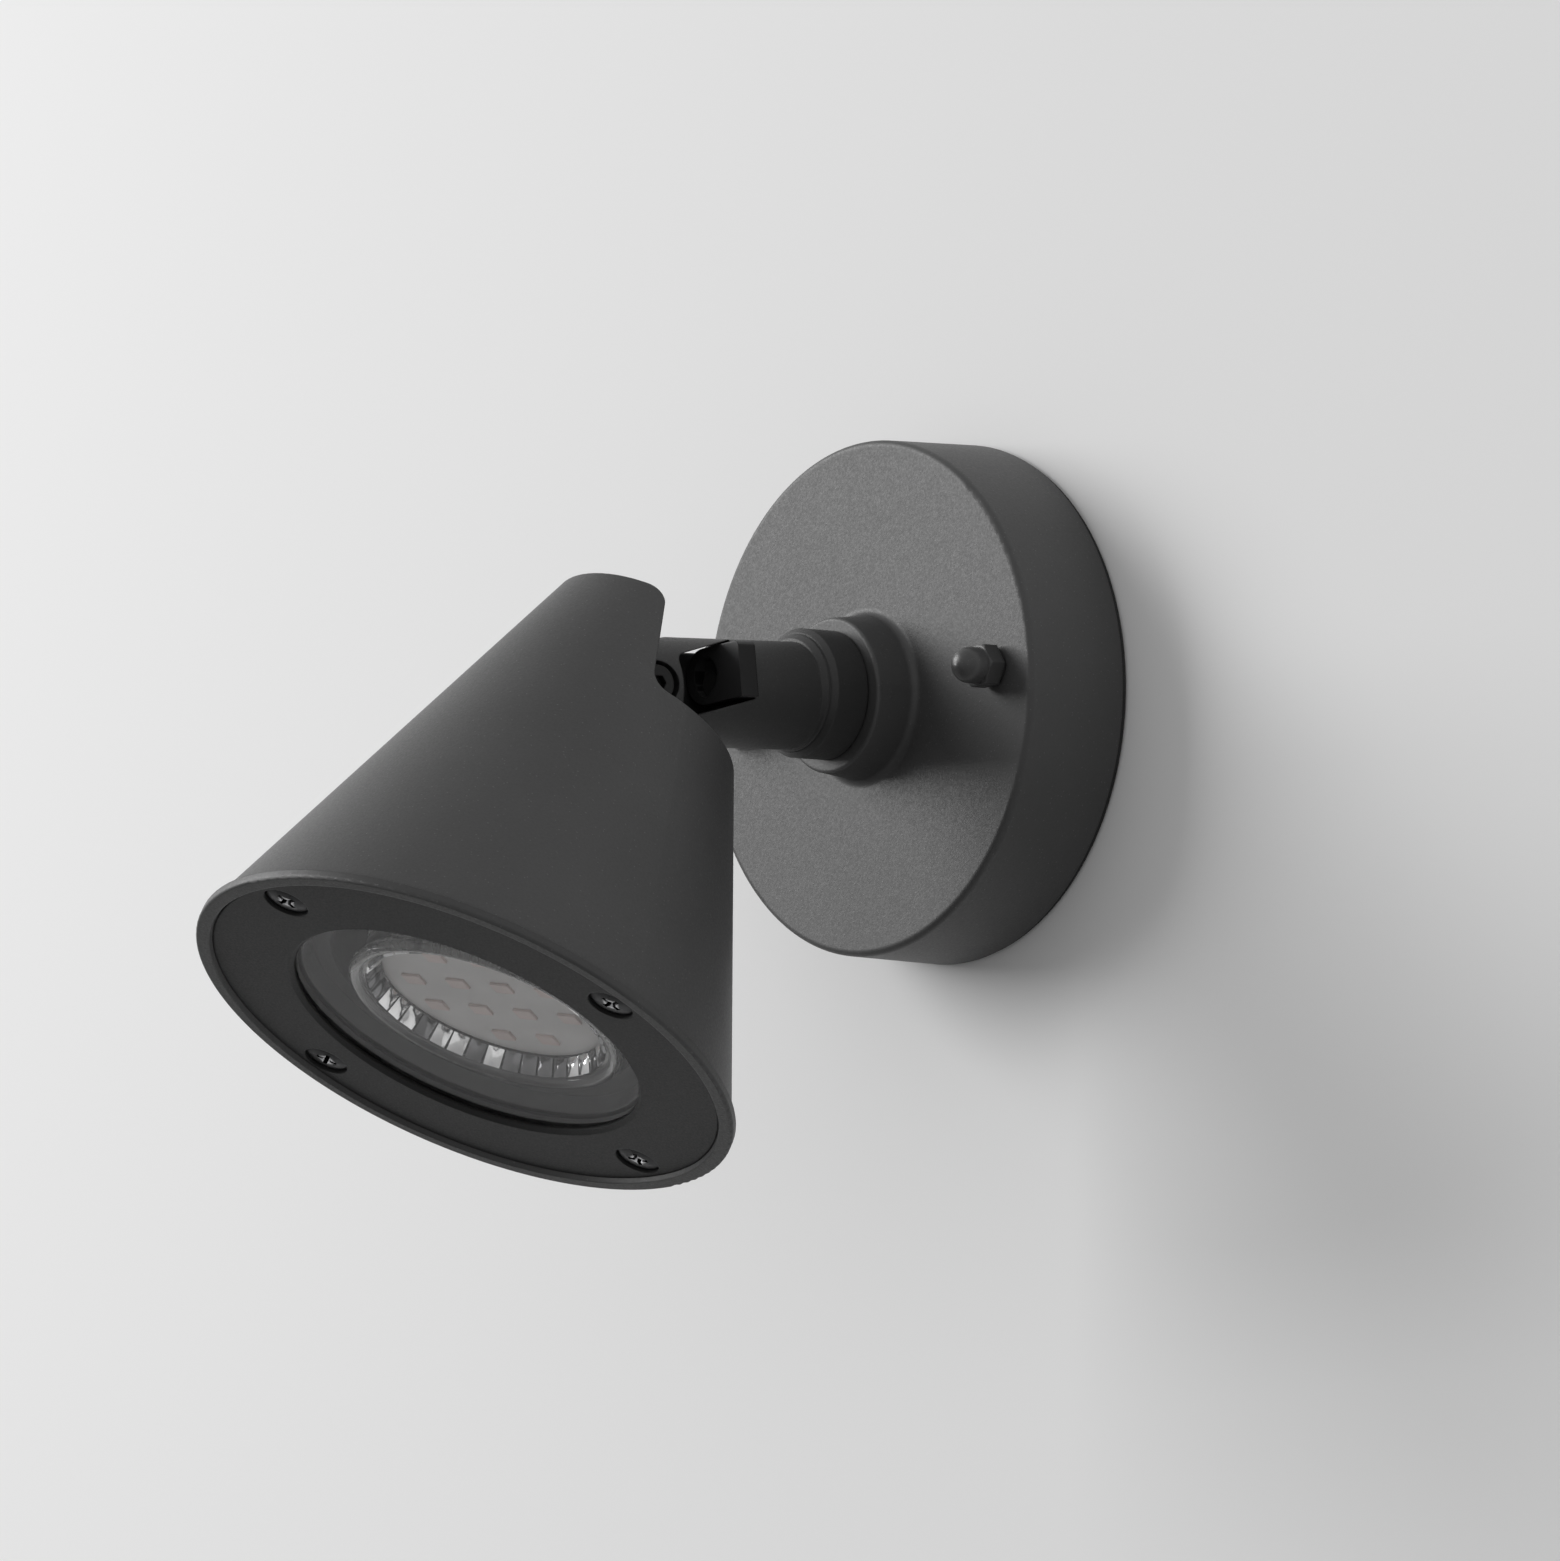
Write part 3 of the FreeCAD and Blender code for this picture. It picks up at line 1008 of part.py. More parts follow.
failed = [item.Label for item in doc.Objects if "Invalid" in item.State or "Error" in item.State]
failed += [item.Label for item in NODES if item.Shape.isNull() or not item.Shape.isValid()]
if failed:
    raise RuntimeError("failed: " + ", ".join(failed))
os.makedirs("parts", exist_ok=True)
for item in NODES:
    item.Shape.exportStep(os.path.join("parts", item.Label + ".step"))
    box = item.Shape.BoundBox
    print("%-22s solids %2d volume %9.1f  x %6.1f..%6.1f  y %7.1f..%7.1f  z %7.1f..%7.1f" % (
        item.Label, len(item.Shape.Solids), item.Shape.Volume, box.XMin, box.XMax, box.YMin, box.YMax,
        box.ZMin, box.ZMax))
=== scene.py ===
import bpy
import math
from mathutils import Matrix, Vector


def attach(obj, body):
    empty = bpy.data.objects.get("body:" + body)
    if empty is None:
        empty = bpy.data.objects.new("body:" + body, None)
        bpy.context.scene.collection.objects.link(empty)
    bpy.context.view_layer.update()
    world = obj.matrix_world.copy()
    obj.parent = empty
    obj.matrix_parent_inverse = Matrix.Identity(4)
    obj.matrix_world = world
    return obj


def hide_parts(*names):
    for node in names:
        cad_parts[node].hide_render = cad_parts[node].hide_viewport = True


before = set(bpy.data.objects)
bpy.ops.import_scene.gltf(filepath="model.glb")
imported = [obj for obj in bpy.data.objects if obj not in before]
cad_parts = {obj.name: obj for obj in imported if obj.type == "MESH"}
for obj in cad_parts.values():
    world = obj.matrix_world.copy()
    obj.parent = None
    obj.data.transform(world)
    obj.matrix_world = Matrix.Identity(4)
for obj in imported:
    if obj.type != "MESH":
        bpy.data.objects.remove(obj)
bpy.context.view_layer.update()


# ---- Canopy ------------------------------------------------------------------------------------
# Die-cast aluminium cup with a raised boss, powder coated dark grey with a fine texture, and held
# to the backplate by two domed nuts. The coat's tone drifts a little over the casting.
SURFACE = "Principled BSDF"
NOISE_LOW, NOISE_HIGH = 0.3, 0.7        # the range in which nearly all of a noise pattern lies
BEVEL_SAMPLES = 4
COAT_EDGE = 0.0004                      # radius to which the coat rounds an edge
COAT_DARK, COAT_LIGHT = 0.86, (1.12, 1.12, 1.13)
COAT_UNEVEN = 0.07                      # spread of the roughness to either side
DRIFT_SCALE = 28.0
PEEL_SCALE, PEEL_SHARE = 0.3, 0.4       # broad waviness under the grain
SPECK_SCALE, SPECK_EDGE, SPECK_TONE = 0.42, 0.16, 2.1
COAT_RELIEF = 0.55
SIDE_LIMIT = 0.93                       # cosine within which a face counts as looking that way


def put(tree, kind, inputs=None, **settings):
    """One node with its sockets and settings filled in."""
    made = tree.nodes.new(kind)
    for key, value in settings.items():
        setattr(made, key, value)
    for key, value in (inputs or {}).items():
        if isinstance(value, bpy.types.NodeSocket):
            tree.links.new(value, made.inputs[key])
        else:
            made.inputs[key].default_value = value
    return made


def calc(tree, operation, first, second=0.0):
    """One step of arithmetic on numbers or sockets."""
    return put(tree, "ShaderNodeMath", {0: first, 1: second}, operation=operation).outputs[0]


def blank(name):
    """A new material, its node tree and its surface shader."""
    material = bpy.data.materials.new(name)
    material.use_nodes = True
    return material, material.node_tree, material.node_tree.nodes[SURFACE]


def own_place(tree):
    """The piece's own coordinates in metres."""
    return put(tree, "ShaderNodeTexCoord").outputs["Object"]


def noise(tree, place, scale, detail, **more):
    """Smooth noise over the piece."""
    inputs = {"Vector": place, "Scale": scale, "Detail": detail, **more}
    return put(tree, "ShaderNodeTexNoise", inputs).outputs["Fac"]


def grade(tree, factor, *stops):
    """Colour ramp with the given (place, colour) stops."""
    ramp = put(tree, "ShaderNodeValToRGB", {"Fac": factor})
    line = ramp.color_ramp.elements
    while len(line) < len(stops):
        line.new(0.5)
    for element, (place, colour) in zip(line, stops):
        element.position = place
        element.color = (*colour, 1.0)
    return ramp.outputs["Color"]


def drifting(tree, pattern, dark, light):
    """A colour that goes from dark to light with a noise pattern."""
    return grade(tree, pattern, (NOISE_LOW, dark), (NOISE_HIGH, light))


def remapped(tree, pattern, low, high, start=NOISE_LOW, end=NOISE_HIGH):
    """A pattern's middle range stretched to the given values."""
    return put(tree, "ShaderNodeMapRange", {"Value": pattern, "From Min": start, "From Max": end,
                                            "To Min": low, "To Max": high}).outputs["Result"]


def relief(tree, height, strength, depth, edge=None):
    """Bump from a height, over edges rounded to the given radius."""
    inputs = {"Height": height, "Strength": strength, "Distance": depth}
    if edge is not None:
        rounded = put(tree, "ShaderNodeBevel", {"Radius": edge}, samples=BEVEL_SAMPLES)
        inputs["Normal"] = rounded.outputs["Normal"]
    return put(tree, "ShaderNodeBump", inputs).outputs["Normal"]


def wire(tree, surface, sockets):
    """Link outputs to the surface shader's inputs."""
    for name, source in sockets.items():
        tree.links.new(source, surface.inputs[name])


def powder_coat(name, tone, grain, depth, rough, mirror=0.5):
    """Textured powder coat: fine grain, sparse raised specks, slow drift of tone."""
    material, tree, surface = blank(name)
    place = own_place(tree)
    fine = noise(tree, place, grain, 4.0, Roughness=0.6)
    peel = noise(tree, place, grain * PEEL_SCALE, 2.0)
    drift = noise(tree, place, DRIFT_SCALE, 3.0)
    specks = put(tree, "ShaderNodeTexVoronoi",
                 {"Vector": place, "Scale": grain * SPECK_SCALE, "Randomness": 1.0})
    spot = grade(tree, specks.outputs["Distance"], (0.0, (1, 1, 1)), (SPECK_EDGE, (0, 0, 0)))
    colour = drifting(tree, drift, [tone * COAT_DARK] * 3, [tone * share for share in COAT_LIGHT])
    lifted = put(tree, "ShaderNodeMix", {"Factor": spot, "A": colour, "B": (*[tone * SPECK_TONE] * 3, 1)},
                 data_type="RGBA")
    height = calc(tree, "ADD", calc(tree, "ADD", fine, spot), calc(tree, "MULTIPLY", peel, PEEL_SHARE))
    wire(tree, surface, {
        "Base Color": lifted.outputs["Result"],
        "Normal": relief(tree, height, COAT_RELIEF, depth, COAT_EDGE),
        "Roughness": remapped(tree, fine, rough - COAT_UNEVEN, rough + COAT_UNEVEN)})
    surface.inputs["Specular IOR Level"].default_value = mirror
    return material


def paint_shade_on_side(material, direction, factor):
    """Paint shade on the faces that look one way: darken their base colour by a factor, as painted shade."""
    tree, surface = material.node_tree, material.node_tree.nodes[SURFACE]
    before = surface.inputs["Base Color"].links[0].from_socket
    normal = put(tree, "ShaderNodeTexCoord").outputs["Normal"]
    facing = put(tree, "ShaderNodeVectorMath", {0: normal, 1: direction}, operation="DOT_PRODUCT")
    chosen = calc(tree, "GREATER_THAN", facing.outputs["Value"], SIDE_LIMIT)
    darker = put(tree, "ShaderNodeMix", {"A": before, "B": (factor, factor, factor, 1.0), "Factor": chosen},
                 data_type="RGBA", blend_type="MULTIPLY")
    wire(tree, surface, {"Base Color": darker.outputs["Result"]})
    return material


def dress(material, *nodes):
    """Give carried-over solids their finish."""
    for name in nodes:
        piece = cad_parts[name]
        if not piece.material_slots:
            piece.data.materials.append(material)
        for held in piece.material_slots:
            held.material = material


dress(powder_coat("casting coat", tone=0.05, grain=2300.0, depth=0.00005, rough=0.5), "canopy")


# ---- Wall gasket, grommets and seals -----------------------------------------------------------
# Closed-cell foam ring under the canopy's rim, moulded rubber grommets pushed into backplate and
# lamp can, rubber face seal under the collar, and a grey silicone ring that the front glass sits on.
RUBBER_DARK, RUBBER_LIGHT = 0.8, 1.3
RUBBER_ROUGH = 0.82
RUBBER_DRIFT = 60.0
PIT_RELIEF, PIT_DEPTH = 0.4, 0.0001


def rubber(name, tone, pore):
    """Dull rubber with a faint pitted skin."""
    material, tree, surface = blank(name)
    place = own_place(tree)
    pits = put(tree, "ShaderNodeTexVoronoi", {"Vector": place, "Scale": pore})
    drift = noise(tree, place, RUBBER_DRIFT, 3.0)
    wire(tree, surface, {
        "Base Color": drifting(tree, drift, [tone * RUBBER_DARK] * 3, [tone * RUBBER_LIGHT] * 3),
        "Normal": relief(tree, pits.outputs["Distance"], PIT_RELIEF, PIT_DEPTH)})
    surface.inputs["Roughness"].default_value = RUBBER_ROUGH
    return material


dress(rubber("foam rubber", tone=0.02, pore=2600.0), "wall_gasket")
dress(rubber("moulded rubber", tone=0.018, pore=1200.0), "supply_grommet", "collar_seal", "can_grommet")
dress(rubber("grey silicone", tone=0.13, pore=1500.0), "glass_gasket")


# ---- Backplate, studs and swivel hardware ------------------------------------------------------
# Zinc-plated sheet steel and turned steel, and brass for the parts that carry current or the earth,
# with the faint clouds and brushing of plating. Studs are clinched into the backplate.
PLATE_DARK, PLATE_LIGHT = 0.85, 1.1
PLATE_SMOOTHER, PLATE_ROUGHER = 0.08, 0.1
BRUSH_SCALE, CLOUD_SCALE = 700.0, 120.0
BRUSH_RELIEF, BRUSH_DEPTH = 0.2, 0.00005


def times(colour, share):
    """A colour made lighter or darker."""
    return [min(1.0, part * share) for part in colour]


def plated(name, colour, rough, brushing):
    """Plated or bare metal: fine scratches and slow changes of gloss."""
    material, tree, surface = blank(name)
    place = own_place(tree)
    stretched = put(tree, "ShaderNodeMapping", {"Vector": place, "Scale": (1.0, brushing, 1.0)})
    lines = noise(tree, stretched.outputs["Vector"], BRUSH_SCALE, 3.0)
    cloud = noise(tree, place, CLOUD_SCALE, 2.0)
    wire(tree, surface, {
        "Base Color": drifting(tree, cloud, times(colour, PLATE_DARK), times(colour, PLATE_LIGHT)),
        "Roughness": remapped(tree, lines, rough - PLATE_SMOOTHER, rough + PLATE_ROUGHER),
        "Normal": relief(tree, lines, BRUSH_RELIEF, BRUSH_DEPTH)})
    surface.inputs["Metallic"].default_value = 1.0
    return material


dress(plated("zinc plate", (0.62, 0.62, 0.64), rough=0.34, brushing=6.0),
      "backplate", "canopy_studs", "terminal_fixing_screw", "stem_spigot", "stop_washer",
      "spring_washer", "lock_nut", "lamp_pins", "holder_screws")
dress(plated("brass", (0.78, 0.58, 0.27), rough=0.3, brushing=3.0),
      "terminal_screws", "earth_tag", "earth_screw", "holder_contacts")


# ---- Terminal block, bushes and washers --------------------------------------------------------
# Moulded nylon in its natural milky tone: terminal block, swivel bush pressed into the boss, and
# friction washers of the tilt joint. The sealing washers under the domed nuts are black nylon.
MOULD_DARK, MOULD_LIGHT = 0.92, 1.05
MOULD_UNEVEN = 0.05
MOULD_EDGE = 0.0003
SKIN_SCALE, FLOW_SCALE = 2200.0, 90.0
SKIN_RELIEF, SKIN_DEPTH = 0.35, 0.00003


def moulding(name, colour, rough, depth=SKIN_DEPTH):
    """Moulded plastic with a faint spark-eroded skin."""
    material, tree, surface = blank(name)
    place = own_place(tree)
    skin = noise(tree, place, SKIN_SCALE, 2.0)
    flow = noise(tree, place, FLOW_SCALE, 2.0)
    wire(tree, surface, {
        "Base Color": drifting(tree, flow, times(colour, MOULD_DARK), times(colour, MOULD_LIGHT)),
        "Normal": relief(tree, skin, SKIN_RELIEF, depth, MOULD_EDGE),
        "Roughness": remapped(tree, skin, rough - MOULD_UNEVEN, rough + MOULD_UNEVEN)})
    return material


dress(moulding("natural nylon", (0.72, 0.71, 0.66), rough=0.45),
      "terminal_block", "swivel_bush", "friction_washers")
dress(moulding("black nylon", (0.02, 0.02, 0.02), rough=0.5), "cap_nut_washers")


# ---- Domed cap nuts and front screws -----------------------------------------------------------
# Domed nuts on the canopy's studs, painted like the casting, and the black painted pivot bolt and nut.
# Four black-oxide steel screws with a cross recess sit in counterbores and hold the front ring.
dress(powder_coat("nut paint", tone=0.05, grain=3500.0, depth=0.00001, rough=0.36), "cap_nuts")
dress(powder_coat("black paint", tone=0.012, grain=3500.0, depth=0.00001, rough=0.5, mirror=0.3),
      "pivot_bolt", "pivot_nut")

SHARP_ANGLE = math.radians(35)


def geometry_tree(name, **numbers):
    """A geometry tree with the numbers as its inputs, these inputs' sockets, and its output's node."""
    tree = bpy.data.node_groups.new(name, "GeometryNodeTree")
    tree.interface.new_socket(name="Geometry", in_out="OUTPUT", socket_type="NodeSocketGeometry")
    for key, value in numbers.items():
        kind = "NodeSocketInt" if isinstance(value, int) else "NodeSocketFloat"
        tree.interface.new_socket(name=key, in_out="INPUT", socket_type=kind)
    return tree, put(tree, "NodeGroupInput").outputs, put(tree, "NodeGroupOutput")


def vector(tree, **axes):
    """Numbers or sockets X, Y and Z as one vector."""
    return put(tree, "ShaderNodeCombineXYZ", axes).outputs[0]


def turn(tree, **axes):
    """A rotation by angles about X, Y and Z."""
    return put(tree, "FunctionNodeEulerToRotation", {"Euler": vector(tree, **axes)}).outputs[0]


def moved(tree, shape, **how):
    """A shape after a Translation or a Rotation."""
    return put(tree, "GeometryNodeTransform", {"Geometry": shape, **how}).outputs[0]


def point_place(tree):
    """X, Y and Z of each point of a shape."""
    position = put(tree, "GeometryNodeInputPosition").outputs[0]
    return put(tree, "ShaderNodeSeparateXYZ", {"Vector": position}).outputs


def boolean(tree, operation, first, second):
    """Exact boolean of two shapes; a difference cuts the second out of the first."""
    first_input = "Mesh 1" if operation == "DIFFERENCE" else "Mesh 2"
    both = put(tree, "GeometryNodeMeshBoolean", {first_input: first}, operation=operation, solver="EXACT")
    tree.links.new(second, both.inputs["Mesh 2"])
    return both.outputs[0]


def marked(tree, shape, name, value, domain):
    """A shape that stores a number under a name, for its material to read."""
    return put(tree, "GeometryNodeStoreNamedAttribute", {"Geometry": shape, "Name": name, "Value": value},
               data_type="FLOAT", domain=domain).outputs[0]


def read_mark(tree, name):
    """The number stored under a name, in a material."""
    return put(tree, "ShaderNodeAttribute", attribute_name=name, attribute_type="GEOMETRY").outputs["Fac"]


def round_places(tree, count, radius, height):
    """Points evenly round the axis, and the angle of each."""
    step = calc(tree, "DIVIDE", math.tau, count)
    angle = calc(tree, "MULTIPLY", put(tree, "GeometryNodeInputIndex").outputs[0], step)
    across = calc(tree, "MULTIPLY", calc(tree, "COSINE", angle), radius)
    along = calc(tree, "MULTIPLY", calc(tree, "SINE", angle), radius)
    spot = vector(tree, X=across, Y=along, Z=height)
    return put(tree, "GeometryNodePoints", {"Count": count, "Position": spot}).outputs[0], angle


def repeated(tree, places, shape, rotation):
    """A shape at each of the places."""
    return put(tree, "GeometryNodeInstanceOnPoints",
               {"Points": places, "Instance": shape, "Rotation": rotation}).outputs[0]


def finish_tree(tree, out, instances, material):
    """Realize, give the material and end the tree."""
    solid = put(tree, "GeometryNodeRealizeInstances", {"Geometry": instances})
    coated = put(tree, "GeometryNodeSetMaterial", {"Geometry": solid.outputs[0], "Material": material})
    tree.links.new(coated.outputs[0], out.inputs["Geometry"])


def grown(name, tree, placing, **numbers):
    """Run a tree once and keep its result as a plain mesh in the world's frame."""
    piece = bpy.data.objects.new(name, bpy.data.meshes.new(name))
    bpy.context.scene.collection.objects.link(piece)
    modifier = piece.modifiers.new("tree", "NODES")
    modifier.node_group = tree
    for item in tree.interface.items_tree:
        if item.item_type == "SOCKET" and item.name in numbers:
            modifier[item.identifier] = numbers[item.name]
    made = bpy.data.meshes.new_from_object(piece.evaluated_get(bpy.context.evaluated_depsgraph_get()))
    piece.modifiers.remove(modifier)
    piece.data = made
    made.transform(placing)
    made.shade_smooth()
    made.set_sharp_from_angle(angle=SHARP_ANGLE)
    return piece


# The head's frame: origin in the middle of its front plane, Z into the head, Y to the wall side.
TILT = math.radians(59.5)
FRONT_Y, FRONT_Z = -0.1130661, -0.063833
HEAD = Matrix(((1, 0, 0, 0), (0, math.sin(TILT), math.cos(TILT), FRONT_Y),
               (0, -math.cos(TILT), math.sin(TILT), FRONT_Z), (0, 0, 0, 1)))

# A front screw is a domed head with a cross recess, deepened in its middle, and a plain shank. The screws
# are repeated round the ring, and each cross is turned another way.
screw_numbers = {"Count": 4, "Pitch radius": 0.0413, "Seat": 0.0034, "Head radius": 0.00385,
                 "Head height": 0.0024, "Dome radius": 0.021, "Slot width": 0.0008, "Slot span": 0.0037,
                 "Recess depth": 0.0014, "Shank radius": 0.002, "Shank length": 0.006,
                 "Glint radius": 0.0016}
HEAD_SIDES, DOME_RINGS, SHANK_SIDES, POCKET_SIDES = 48, 40, 32, 8
POCKET_TIP, POCKET_WIDE, POCKET_DEEP = 0.0002, 1.2, 1.3   # tip radius; shares of slot width and recess depth
SHANK_PLACE = 0.499                                       # just under half, so that the shank meets the head
CROSS_TURN = 1.35                                         # share of a screw's place that its cross is turned by
screw_tree, given, screw_end = geometry_tree("cross-head screws", **screw_numbers)
head_face = calc(screw_tree, "MULTIPLY", given["Head height"], -0.5)
barrel = put(screw_tree, "GeometryNodeMeshCylinder",
             {"Vertices": HEAD_SIDES, "Radius": given["Head radius"], "Depth": given["Head height"]})
ball = put(screw_tree, "GeometryNodeMeshUVSphere",
           {"Segments": HEAD_SIDES, "Rings": DOME_RINGS, "Radius": given["Dome radius"]})
ball_place = vector(screw_tree, Z=calc(screw_tree, "ADD", given["Dome radius"], head_face))
screw = boolean(screw_tree, "INTERSECT", barrel.outputs[0],
                moved(screw_tree, ball.outputs[0], Translation=ball_place))
recess = calc(screw_tree, "MULTIPLY", given["Recess depth"], 2.0)
for wide, deep in (("Slot span", "Slot width"), ("Slot width", "Slot span")):
    bar = put(screw_tree, "GeometryNodeMeshCube",
              {"Size": vector(screw_tree, X=given[wide], Y=given[deep], Z=recess)})
    screw = boolean(screw_tree, "DIFFERENCE", screw,
                    moved(screw_tree, bar.outputs[0], Translation=vector(screw_tree, Z=head_face)))
pocket = put(screw_tree, "GeometryNodeMeshCone",
             {"Vertices": POCKET_SIDES, "Radius Top": POCKET_TIP,
              "Radius Bottom": calc(screw_tree, "MULTIPLY", given["Slot width"], POCKET_WIDE),
              "Depth": calc(screw_tree, "MULTIPLY", given["Recess depth"], POCKET_DEEP)})
screw = boolean(screw_tree, "DIFFERENCE", screw,
                moved(screw_tree, pocket.outputs[0], Translation=vector(screw_tree, Z=head_face)))
shank = put(screw_tree, "GeometryNodeMeshCylinder",
            {"Vertices": SHANK_SIDES, "Radius": given["Shank radius"], "Depth": given["Shank length"]})
shank_down = calc(screw_tree, "MULTIPLY",
                  calc(screw_tree, "ADD", given["Head height"], given["Shank length"]), SHANK_PLACE)
screw = boolean(screw_tree, "UNION", screw,
                moved(screw_tree, shank.outputs[0], Translation=vector(screw_tree, Z=shank_down)))
where = point_place(screw_tree)
reach = calc(screw_tree, "SQRT", calc(screw_tree, "ADD",
                                      calc(screw_tree, "MULTIPLY", where["X"], where["X"]),
                                      calc(screw_tree, "MULTIPLY", where["Y"], where["Y"])))
# Points in the middle of the recess are marked for the painted highlight.
screw = marked(screw_tree, screw, "glint", calc(screw_tree, "LESS_THAN", reach, given["Glint radius"]), "POINT")
places, angle = round_places(screw_tree, given["Count"], given["Pitch radius"],
                             calc(screw_tree, "ADD", given["Seat"], head_face))
screws = repeated(screw_tree, places, screw,
                  turn(screw_tree, Z=calc(screw_tree, "MULTIPLY", angle, CROSS_TURN)))

# Black oxide on the head; the middle of the recess is coloured as bright steel, a painted highlight for the
# glint in the cross.
OXIDE, GLINT_STEEL = (0.012, 0.012, 0.013), (0.6, 0.6, 0.61)
black_oxide = plated("black oxide", OXIDE, rough=0.34, brushing=2.0)
painted_glint = grade(black_oxide.node_tree, read_mark(black_oxide.node_tree, "glint"),
               (0.2, OXIDE), (0.9, GLINT_STEEL))
wire(black_oxide.node_tree, black_oxide.node_tree.nodes[SURFACE], {"Base Color": painted_glint})
finish_tree(screw_tree, screw_end, screws, black_oxide)
front_screws = grown("front_screws", screw_tree, HEAD, **screw_numbers)
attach(front_screws, "head_body")
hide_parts("bezel_screws")


# ---- Stem --------------------------------------------------------------------------------------
# Cast stem with stepped collar and fork, in a darker and smoother coat than the canopy's. The moulded
# lead block in its side window is satin black, and the sheathed lead ends in the block's mouth.
TOWARD_RIGHT = (1.0, 0.0, 0.0)
dress(powder_coat("stem coat", tone=0.021, grain=2300.0, depth=0.00004, rough=0.5), "stem")
block_moulding = moulding("black moulding", (0.04, 0.04, 0.041), rough=0.4)
# Painted shade: the block's faces that look to the right are darkened to a fifth of their colour.
paint_shade_on_side(block_moulding, TOWARD_RIGHT, factor=0.2)
block_moulding.node_tree.nodes[SURFACE].inputs["Specular IOR Level"].default_value = 0.3
dress(block_moulding, "lead_boot")
dress(rubber("lead sheath", tone=0.022, pore=900.0), "stem_lead")
dress(moulding("lead insulation", (0.42, 0.12, 0.05), rough=0.4), "canopy_leads", "head_leads")


# ---- Shade, front ring and lamp can ------------------------------------------------------------
# Cast conical shade with the coarse powder coat; its front edge has painted shade, darkened to the ring's tone.
# The flat front ring has a finer coat, painted darker as shade, and is screwed to the die-cast can, whose
# stepped inside is smooth and dark.
TOWARD_FRONT = (0.0, -0.5075, -0.8616)
shade_coat = powder_coat("shade coat", tone=0.045, grain=2100.0, depth=0.00007, rough=0.5)
# Painted shade: the shade's faces that look to the front are darkened to match the ring.
dress(paint_shade_on_side(shade_coat, TOWARD_FRONT, factor=0.42), "shade")
# Painted shade: the ring's coat is made darker than the shade's, standing in for shade on its downward-facing
# plate.
dress(powder_coat("ring coat", tone=0.015, grain=2600.0, depth=0.00003, rough=0.56, mirror=0.3), "bezel")
dress(moulding("can coat", (0.032, 0.032, 0.033), rough=0.42, depth=0.000004), "lamp_can")


# ---- Front glass -------------------------------------------------------------------------------
# Flat clear float glass with an anti-reflection coat, pressed to its gasket by the front ring. It bends
# light as glass does and mirrors weakly; shadow rays pass it, so that the lamp behind it is lit.
GLASS_BEND = (0.98, 0.98, 0.98)
GLASS_SHADOW = (0.95, 0.95, 0.95)
DUST_SCALE, DUST_START, DUST_END, DUST_ROUGH = 900.0, 0.5, 0.8, 0.05


def pass_shadow_rays(tree, shader, tint):
    """End a material in a shader that lets shadow rays through with a tint."""
    ray = put(tree, "ShaderNodeLightPath")
    through = put(tree, "ShaderNodeBsdfTransparent", {"Color": (*tint, 1.0)})
    either = put(tree, "ShaderNodeMixShader",
                 {"Fac": ray.outputs["Is Shadow Ray"], 1: shader, 2: through.outputs["BSDF"]})
    tree.links.new(either.outputs["Shader"], tree.nodes["Material Output"].inputs["Surface"])


def coated_glass(name, ior, gleam):
    """Clear glass that mirrors by a share of what its surface would."""
    material, tree, surface = blank(name)
    dust = noise(tree, own_place(tree), DUST_SCALE, 3.0)
    haze = remapped(tree, dust, 0.0, DUST_ROUGH, start=DUST_START, end=DUST_END)
    bend = put(tree, "ShaderNodeBsdfRefraction", {"Color": (*GLASS_BEND, 1.0), "Roughness": 0.0, "IOR": ior})
    mirror = put(tree, "ShaderNodeBsdfGlossy", {"Color": (1, 1, 1, 1), "Roughness": haze})
    grazing = put(tree, "ShaderNodeFresnel", {"IOR": ior}).outputs["Fac"]
    seen = put(tree, "ShaderNodeMixShader", {"Fac": calc(tree, "MULTIPLY", grazing, gleam),
                                             1: bend.outputs["BSDF"], 2: mirror.outputs["BSDF"]})
    pass_shadow_rays(tree, seen.outputs["Shader"], GLASS_SHADOW)
    tree.nodes.remove(surface)
    return material


dress(coated_glass("front glass", ior=1.5, gleam=0.3), "front_glass")


# ---- Lamp --------------------------------------------------------------------------------------
# Reflector lamp with a white shell, a clear moulded front with a rolled rim, a pale board and small
# phosphor chips, plugged by two headed pins into a ceramic holder that is screwed into the can.
def clear(name, colour, rough, ior):
    """Clear solid that lets light through to what it covers."""
    material, tree, surface = blank(name)
    surface.inputs["Base Color"].default_value = (*colour, 1.0)
    surface.inputs["Transmission Weight"].default_value = 1.0
    surface.inputs["Roughness"].default_value = rough
    surface.inputs["IOR"].default_value = ior
    pass_shadow_rays(tree, surface.outputs["BSDF"], colour)
    return material


dress(moulding("lamp shell", (0.75, 0.75, 0.74), rough=0.35), "lamp_body")
dress(clear("lamp front", (0.96, 0.96, 0.96), rough=0.0, ior=1.49), "lamp_lens")
dress(moulding("lamp board", (0.8, 0.785, 0.775), rough=0.5), "lamp_board")
dress(moulding("chip phosphor", (0.84, 0.73, 0.7), rough=0.4), "lamp_chips")
dress(moulding("holder ceramic", (0.8, 0.78, 0.72), rough=0.3), "lamp_holder")
